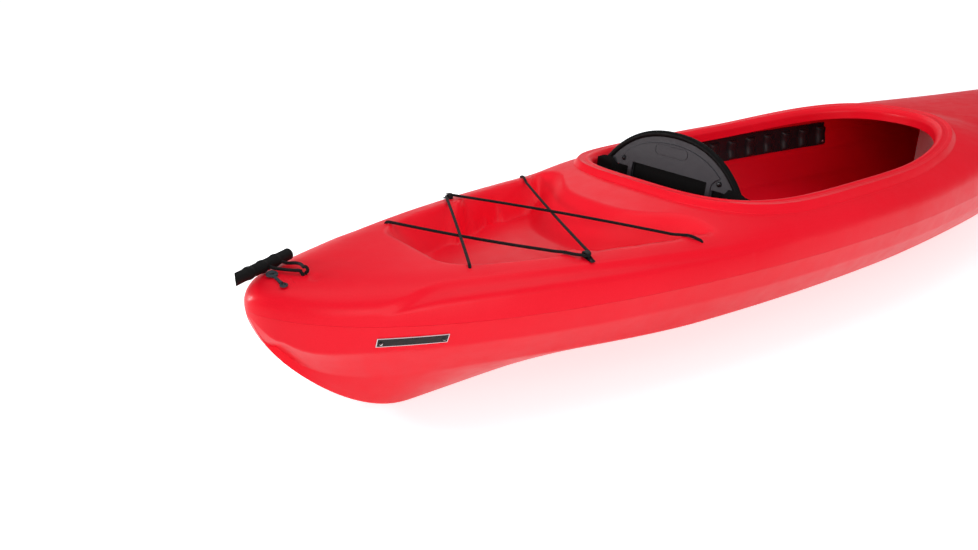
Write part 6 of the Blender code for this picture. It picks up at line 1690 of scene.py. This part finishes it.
def build_seat_pan(hull, looks):
    """A dished pan on two long feet: a smooth section carried from back to front, with ears for the pins."""
    stations = np.linspace(PAN_AFT, PAN_FORE, 49)
    part = (stations - PAN_AFT) / (PAN_FORE - PAN_AFT)
    dish = PAN_DISH + PAN_FRONT_RISE * smoothstep(0.45, 0.95, part)
    dish = dish + 0.03 * (1.0 - smoothstep(0.0, 0.22, part))
    bolster = BOLSTER_HEIGHT - 0.018 * smoothstep(0.5, 1.0, part)
    half = PAN_HALF - 0.012 * smoothstep(0.6, 1.0, part)
    rows, unders = [], []
    for station, low, high, wide in zip(stations, dish, bolster, half):
        profile = [(0.0, low), (0.035, low), (0.07, low + 0.001), (0.125, low + 0.006)]
        profile.append((wide - 0.045, low + 0.6 * (high - low)))
        profile += [(wide - 0.020, high), (wide - 0.006, high - 0.003)]
        foot = wide + 0.004
        knee = floor_point(hull, station, foot, FLOOR_GAP + PAN_WALL)
        profile.append((wide + 0.001, knee[2] + 0.004))
        for extra in (0.4, 1.0):
            spot = floor_point(hull, station, foot + extra * FOOT_WIDTH, FLOOR_GAP + PAN_WALL)
            profile.append((spot[1], spot[2]))
        profile = np.array(profile)
        t = np.arange(len(profile), dtype=float)
        fine = np.unique(np.concatenate([np.linspace(0.0, 6.6, 45), np.linspace(6.6, 9.0, 14)]))
        path = np.stack([ease_through(t, profile[:, k], fine) for k in range(2)], -1)
        along = np.gradient(path, axis=0)
        normal = np.stack([-along[:, 1], along[:, 0]], -1)
        normal = normal / np.linalg.norm(normal, axis=1, keepdims=True)
        normal[0] = (0.0, 1.0)
        under = path - PAN_WALL * normal
        row = np.concatenate([np.full((len(path), 1), x_of(station)), path], 1)
        low_row = np.concatenate([np.full((len(path), 1), x_of(station)), under], 1)
        mirror = np.array([1.0, -1.0, 1.0])
        rows.append(np.concatenate([row[:0:-1] * mirror, row]))
        unders.append(np.concatenate([low_row[:0:-1] * mirror, low_row]))
    shell = walled([np.stack(rows)], [np.stack(unders)])
    pan = piece("pan_shell", *shell, looks["black"], "kayak", ["seat_pan"], "fittings", 50)
    ears = []
    holes = []
    for side in (1.0, -1.0):
        right = [(0.016, -0.045), (0.016, 0.004), (0.009, 0.013)]
        outline = rounded([(-0.016, -0.045)] + right + [(-0.009, 0.013), (-0.016, 0.004)], 0.004)
        low, high = sorted((side * EAR_INNER, side * EAR_OUTER))
        points, faces = slab(outline, low, high, 0.0006)
        pivot = np.array([x_of(BACK_PIVOT_STATION), 0.0, BACK_PIVOT_HEIGHT])
        ears.append((points[:, [0, 2, 1]] + pivot, faces))
        centre = np.array([x_of(BACK_PIVOT_STATION), side * EAR_INNER, BACK_PIVOT_HEIGHT])
        holes.append(rod(centre, (0.0, side, 0.0), PIVOT_RADIUS + DRILL_CLEARANCE, 0.01, 0.03))
    carved(pan, ears, "UNION")
    carved(pan, holes)
    pan.data.set_sharp_from_angle(angle=math.radians(50))
    return pan


def ease_through(knots, values, at, span=0.28):
    """A smooth curve near values at whole-number knots: the mean of the straight runs over a span each
    way."""
    shifts = np.linspace(-span, span, 15)
    room = np.clip(np.minimum(at - knots[0], knots[-1] - at) / span, 0.0, 1.0)
    return sum(np.interp(at + shift * room, knots, values) for shift in shifts) / len(shifts)


# Foot rails


def build_foot_rails(skins, looks):
    """A ribbed rail along each side wall: the wall's curve, a base thickness, rounded ribs on a fixed
    pitch."""
    start = RAIL_AFT + RIB_START
    count = int((RAIL_FORE - start - RIB_WIDTH) / RIB_PITCH) + 1
    stations = np.linspace(RAIL_AFT, RAIL_FORE, 311)
    heights = np.concatenate([
        np.linspace(RAIL_LOW, RAIL_LOW + 0.008, 6), np.linspace(RAIL_LOW + 0.012, RIB_TOP - 0.006, 9),
        np.linspace(RIB_TOP - 0.003, RIB_TOP + 0.004, 7), np.linspace(RIB_TOP + 0.007, RAIL_HIGH, 6),
    ])
    station, height = np.meshgrid(stations, heights, indexing="ij")
    middles = start + RIB_PITCH * np.arange(count) + RIB_WIDTH / 2
    off = np.min(np.abs(station[..., None] - middles), axis=-1) / (0.68 * RIB_WIDTH)
    rib = np.clip(1.0 - np.minimum(off, 1.0) ** 2.0, 0.0, 1.0) ** 0.5
    top = np.sqrt(np.clip(1.0 - (np.maximum(height - RIB_TOP + 0.006, 0.0) / 0.009) ** 2, 0.0, 1.0))
    rise = smoothstep(RAIL_LOW, RAIL_LOW + 0.010, height) * top
    rim = np.minimum(height - RAIL_LOW, RAIL_HIGH - height)
    rim = np.minimum(rim, np.minimum(station - RAIL_AFT, RAIL_FORE - station))
    soft = 0.35 + 0.65 * np.sqrt(np.clip(rim / 0.002, 0.0, 1.0))
    fuller = 0.85 + 0.15 * (height - RAIL_LOW) / (RIB_TOP - RAIL_LOW)
    depth = RAIL_THICKNESS * soft + RIB_DEPTH * rib * rise * fuller
    coarse = np.linspace(RAIL_AFT, RAIL_FORE, 32)
    for side, word in ((1.0, "port"), (-1.0, "starboard")):
        reached = [min(skin.wall(x_of(s), h, side) for skin in skins) for s in coarse for h in heights]
        wall = np.array(reached).reshape(len(coarse), len(heights))
        wall = np.array([np.interp(heights, heights[row < 1.0], row[row < 1.0]) for row in wall])
        wall = np.stack([np.interp(stations, coarse, wall[:, k]) for k in range(len(heights))], -1)
        outer = np.stack([x_of(station), side * (wall - RAIL_GAP), height], -1)
        inner = np.stack([x_of(station), side * (wall - RAIL_GAP - depth), height], -1)
        rail = walled([inner], [outer])
        piece(f"foot_rail_{word}_dressed", *rail, looks["rail"], "kayak", [f"foot_rail_{word}"], "fittings",
              40)
        for index in (1, 2):
            pan_screw(f"rail_screw_{word}_{index}_dressed", f"rail_screw_{word}_{index}", looks["steel"],
                      "kayak")


# Cushions


def pad_grid(columns, rows, pinch, crown):
    """A pad's grid on (u, v) in -1..1: a squircle outline, a crown that falls to its edge, and that edge."""
    u_steps = np.sin(np.linspace(-1, 1, columns) * math.pi / 2)
    v_steps = np.sin(np.linspace(-1, 1, rows) * math.pi / 2)
    u, v = np.meshgrid(u_steps, v_steps, indexing="ij")
    across = u * np.sqrt(1.0 - pinch * v**2 / 2)
    along = v * np.sqrt(1.0 - pinch * u**2 / 2)
    edge = np.maximum((1.0 - np.abs(u) ** 6) * (1.0 - np.abs(v) ** 6), 0.0)
    return across, along, crown * edge**0.45, edge


def stuffed(name, upper, lower, look, body, nodes, channels, push, settle=np.asarray):
    """A stuffed pad: its sheets remeshed, blown up as cloth from inside with each point's travel capped,
    then pressed in along its sewn channels.

    channels(points) gives how near each point is to a seam, from 0 to 1. push is the press's depth and
    direction. settle(points) lays the points against what is behind them."""
    made = piece(name, *walled([upper], [lower]), look, body, nodes, "pad", 180)
    bpy.context.view_layer.objects.active = made
    remesh = made.modifiers.new("remesh", "REMESH")
    remesh.mode = "VOXEL"
    remesh.voxel_size = 0.0045
    keep_shape(made)
    before = spots_of(made.data)
    cloth = made.modifiers.new("cloth", "CLOTH")
    cloth.settings.quality = 5
    cloth.settings.mass = 0.2
    cloth.settings.tension_stiffness = 25.0
    cloth.settings.compression_stiffness = 25.0
    cloth.settings.bending_stiffness = 0.4
    cloth.settings.use_pressure = True
    cloth.settings.uniform_pressure_force = 4.0
    cloth.settings.effector_weights.gravity = 0.0
    cloth.collision_settings.use_collision = False
    cloth.point_cache.frame_start = 1
    cloth.point_cache.frame_end = 20
    for step in range(1, 21):
        bpy.context.scene.frame_set(step)
    stuffing = made.evaluated_get(bpy.context.evaluated_depsgraph_get())
    after = spots_of(stuffing.data)
    made.modifiers.clear()
    bpy.context.scene.frame_set(1)
    travel = after - before
    size = np.linalg.norm(travel, axis=1, keepdims=True)
    moved = before + travel * np.minimum(1.0, PAD_TRAVEL / np.maximum(size, 1e-9)) * TRAVEL_SHARE
    move_spots(made.data, moved)
    surface = made.modifiers.new("soften", "SUBSURF")
    surface.levels = surface.render_levels = 1
    keep_shape(made)
    spots = spots_of(made.data)
    near = channels(spots)[:, None]
    move_spots(made.data, settle(spots + near * np.asarray(push)))
    made.data.shade_smooth()


def build_seat_cushion(pan, looks):
    """Seat cushion: crowned over the pan's dish, drawn in at its sides, with three channels sewn across."""
    across, along, lift, edge = pad_grid(33, 41, 0.35, PAN_CUSHION_THICKNESS)
    centre = (PAN_AFT + PAN_FORE) / 2 + 0.022
    half_length = (PAN_FORE - PAN_AFT) / 2 - 0.055
    x = x_of(centre + half_length * along)
    y = PAN_CUSHION_HALF * across * (1.0 - 0.06 * np.cos(math.pi * along / 2))
    floor = np.array([pan.below(a, b)[0][2] for a, b in zip(x.ravel(), y.ravel())]).reshape(x.shape)
    tuck = PAD_TUCK * (1.0 - edge) ** 2
    rise = 0.0022 + SOFT_GAP
    upper = np.stack([x, y, floor + rise + tuck + PAD_EDGE + CROWN_SHARE * lift], -1)
    lower = np.stack([x, y, floor + rise + tuck], -1)
    lines = x_of(centre + half_length * np.array([-0.42, 0.0, 0.42]))
    top = np.median(upper[..., 2])

    def channels(spots):
        """A bell curve across each sewn line, fading out at the sides and below the top."""
        near = np.exp(-(np.min(np.abs(spots[:, 0, None] - lines), axis=1) / SEW_WIDTH) ** 2)
        side = 1.0 - smoothstep(0.80, 1.0, np.abs(spots[:, 1]) / PAN_CUSHION_HALF)
        return near * side * smoothstep(top - 0.012, top - 0.002, spots[:, 2])

    stuffed("seat_pad", upper, lower, looks["pad"], "kayak", ["seat_cushion"], channels, (0.0, 0.0, -0.0055))


def build_back_cushion(looks):
    """Back cushion on the front of the plate: two upright channels and one across."""
    matrix = back_matrix()
    across, along, lift, edge = pad_grid(41, 33, 0.30, BACK_CUSHION_THICKNESS)
    front = PLATE_REAR + BACK_THICKNESS
    base = front + FIT_GAP + WEBBING_THICKNESS + SOFT_GAP
    y = BACK_PAD_HALF * across * (1.0 - 0.12 * (1.0 + along) / 2)
    z = BACK_PAD_CENTRE + BACK_PAD_REACH * along - 0.030 * across**2 * (1.0 + along) / 2
    tuck = PAD_TUCK * (1.0 - edge) ** 2
    hug = 0.010 * across**2 * edge
    upper = placed(np.stack([base + 0.001 + tuck + PAD_EDGE + CROWN_SHARE * lift + hug, y, z], -1), matrix)
    lower = placed(np.stack([base + 0.001 + tuck, y, z], -1), matrix)
    turn = matrix[:3, :3]

    def channels(spots):
        """A bell curve across each sewn line, fading out at the rim and behind the front."""
        local = (spots - matrix[:3, 3]) @ turn
        beside = np.min(np.abs(np.abs(local[:, 1, None]) - 0.34 * BACK_PAD_HALF), axis=1)
        upright = np.exp(-(beside / SEW_WIDTH) ** 2)
        level = BACK_PAD_CENTRE - 0.15 * BACK_PAD_REACH
        crossing = np.exp(-(((local[:, 2] - level) / SEW_WIDTH) ** 2))
        higher = (local[:, 2] - BACK_PAD_CENTRE) / BACK_PAD_REACH
        rim = 1.0 - smoothstep(0.78, 1.0, np.hypot(local[:, 1] / BACK_PAD_HALF, higher))
        return np.maximum(upright, crossing) * rim * smoothstep(base + 0.014, base + 0.024, local[:, 0])

    def settle(spots):
        """Holds the points in front of the strap and the plate."""
        local = (spots - matrix[:3, 3]) @ turn
        local[:, 0] = np.maximum(local[:, 0], base + 0.0004)
        return local @ turn.T + matrix[:3, 3]

    push = -0.0060 * turn[:, 0]
    stuffed("back_pad", upper, lower, looks["pad"], "seat_back", ["seat_back_cushion"], channels, push,
            settle)


# Everything together


def main():
    """Builds the stage, the looks and every piece, and gives the carried CAD nodes their looks."""
    bpy.context.scene.view_settings.view_transform = "Standard"
    place_camera()
    place_floor()
    place_lights()
    looks = {
        "shell": shell_plastic(),
        "black": moulded("moulded_black", (0.018, 0.017, 0.018), (0.011, 0.010, 0.011), 0.48, 500.0, 0.0003),
        "rail": moulded("rail_black", (0.017, 0.015, 0.018), (0.010, 0.009, 0.011), 0.42, 500.0, 0.0002,
                        shine=0.40),
        "dark_steel": moulded("bolt_steel", (0.050, 0.050, 0.054), (0.030, 0.030, 0.033), 0.30, 900.0,
                              0.0001, 1.0, 20.0),
        "charcoal": moulded("plate_charcoal", (0.046, 0.043, 0.050), (0.037, 0.035, 0.040), 0.46, 700.0,
                            0.0003),
        "rubber": moulded("rim_rubber", (0.0045, 0.0045, 0.0046), (0.003, 0.003, 0.003), 0.55, 600.0,
                          0.0003, shine=0.10),
        "grip": moulded("grip_rubber", (0.0085, 0.0085, 0.0086), (0.006, 0.006, 0.006), 0.58, 600.0, 0.0003,
                        shine=0.15),
        "slate": moulded("plug_rubber", (0.050, 0.064, 0.072), (0.034, 0.045, 0.052), 0.55, 600.0, 0.0003),
        "cord": braided("cord_black", (0.0095, 0.0095, 0.0100), (0.003, 0.003, 0.003), 0.0042, 6.0),
        "webbing": woven("webbing_black", (0.0050, 0.0048, 0.0050), (0.0018, 0.0018, 0.0018), 0.0016,
                         axes=("Y", "Z"), sheen=0.0),
        "pad": woven("pad_fabric", (0.040, 0.040, 0.043), (0.016, 0.016, 0.018), 0.0011),
        "steel": moulded("screw_steel", (0.62, 0.63, 0.64), (0.52, 0.53, 0.54), 0.28, 900.0, 0.0001, 1.0,
                         20.0),
        "pale": moulded("plate_border", (0.72, 0.72, 0.73), (0.62, 0.62, 0.63), 0.35, 900.0, 0.0001, 0.6,
                        20.0),
        "enamel": moulded("plate_enamel", (0.010, 0.010, 0.010), (0.007, 0.007, 0.007), 0.35, 700.0, 0.0001,
                          0.0, 20.0),
        "foam": moulded("block_foam", (0.80, 0.80, 0.78), (0.70, 0.70, 0.68), 0.92, 260.0, 0.0012, 0.0, 12.0),
    }
    hull = Skin(build_hull(looks))
    deck = Skin(build_deck(looks))
    frames = build_hooks(deck, looks)
    build_shock_cords(deck, frames, looks)
    build_handle("stern", False, deck, looks)
    build_handle("bow", True, deck, looks)
    build_drain_plug(deck, looks)
    build_plate(hull, looks)
    pan = build_seat_pan(hull, looks)
    build_seat_cushion(Skin(pan), looks)
    build_seat_back(looks)
    build_back_cushion(looks)
    build_foot_rails((hull, deck), looks)
    carried = {
        "float_block_bow": "foam", "float_block_stern": "foam", "bow_handle_knot": "cord",
        "stern_handle_knot": "cord", "seat_pin_port": "steel", "seat_pin_starboard": "steel",
    }
    for name, look in carried.items():
        data = bpy.data.objects[name].data
        data.materials.clear()
        data.materials.append(looks[look])


main()
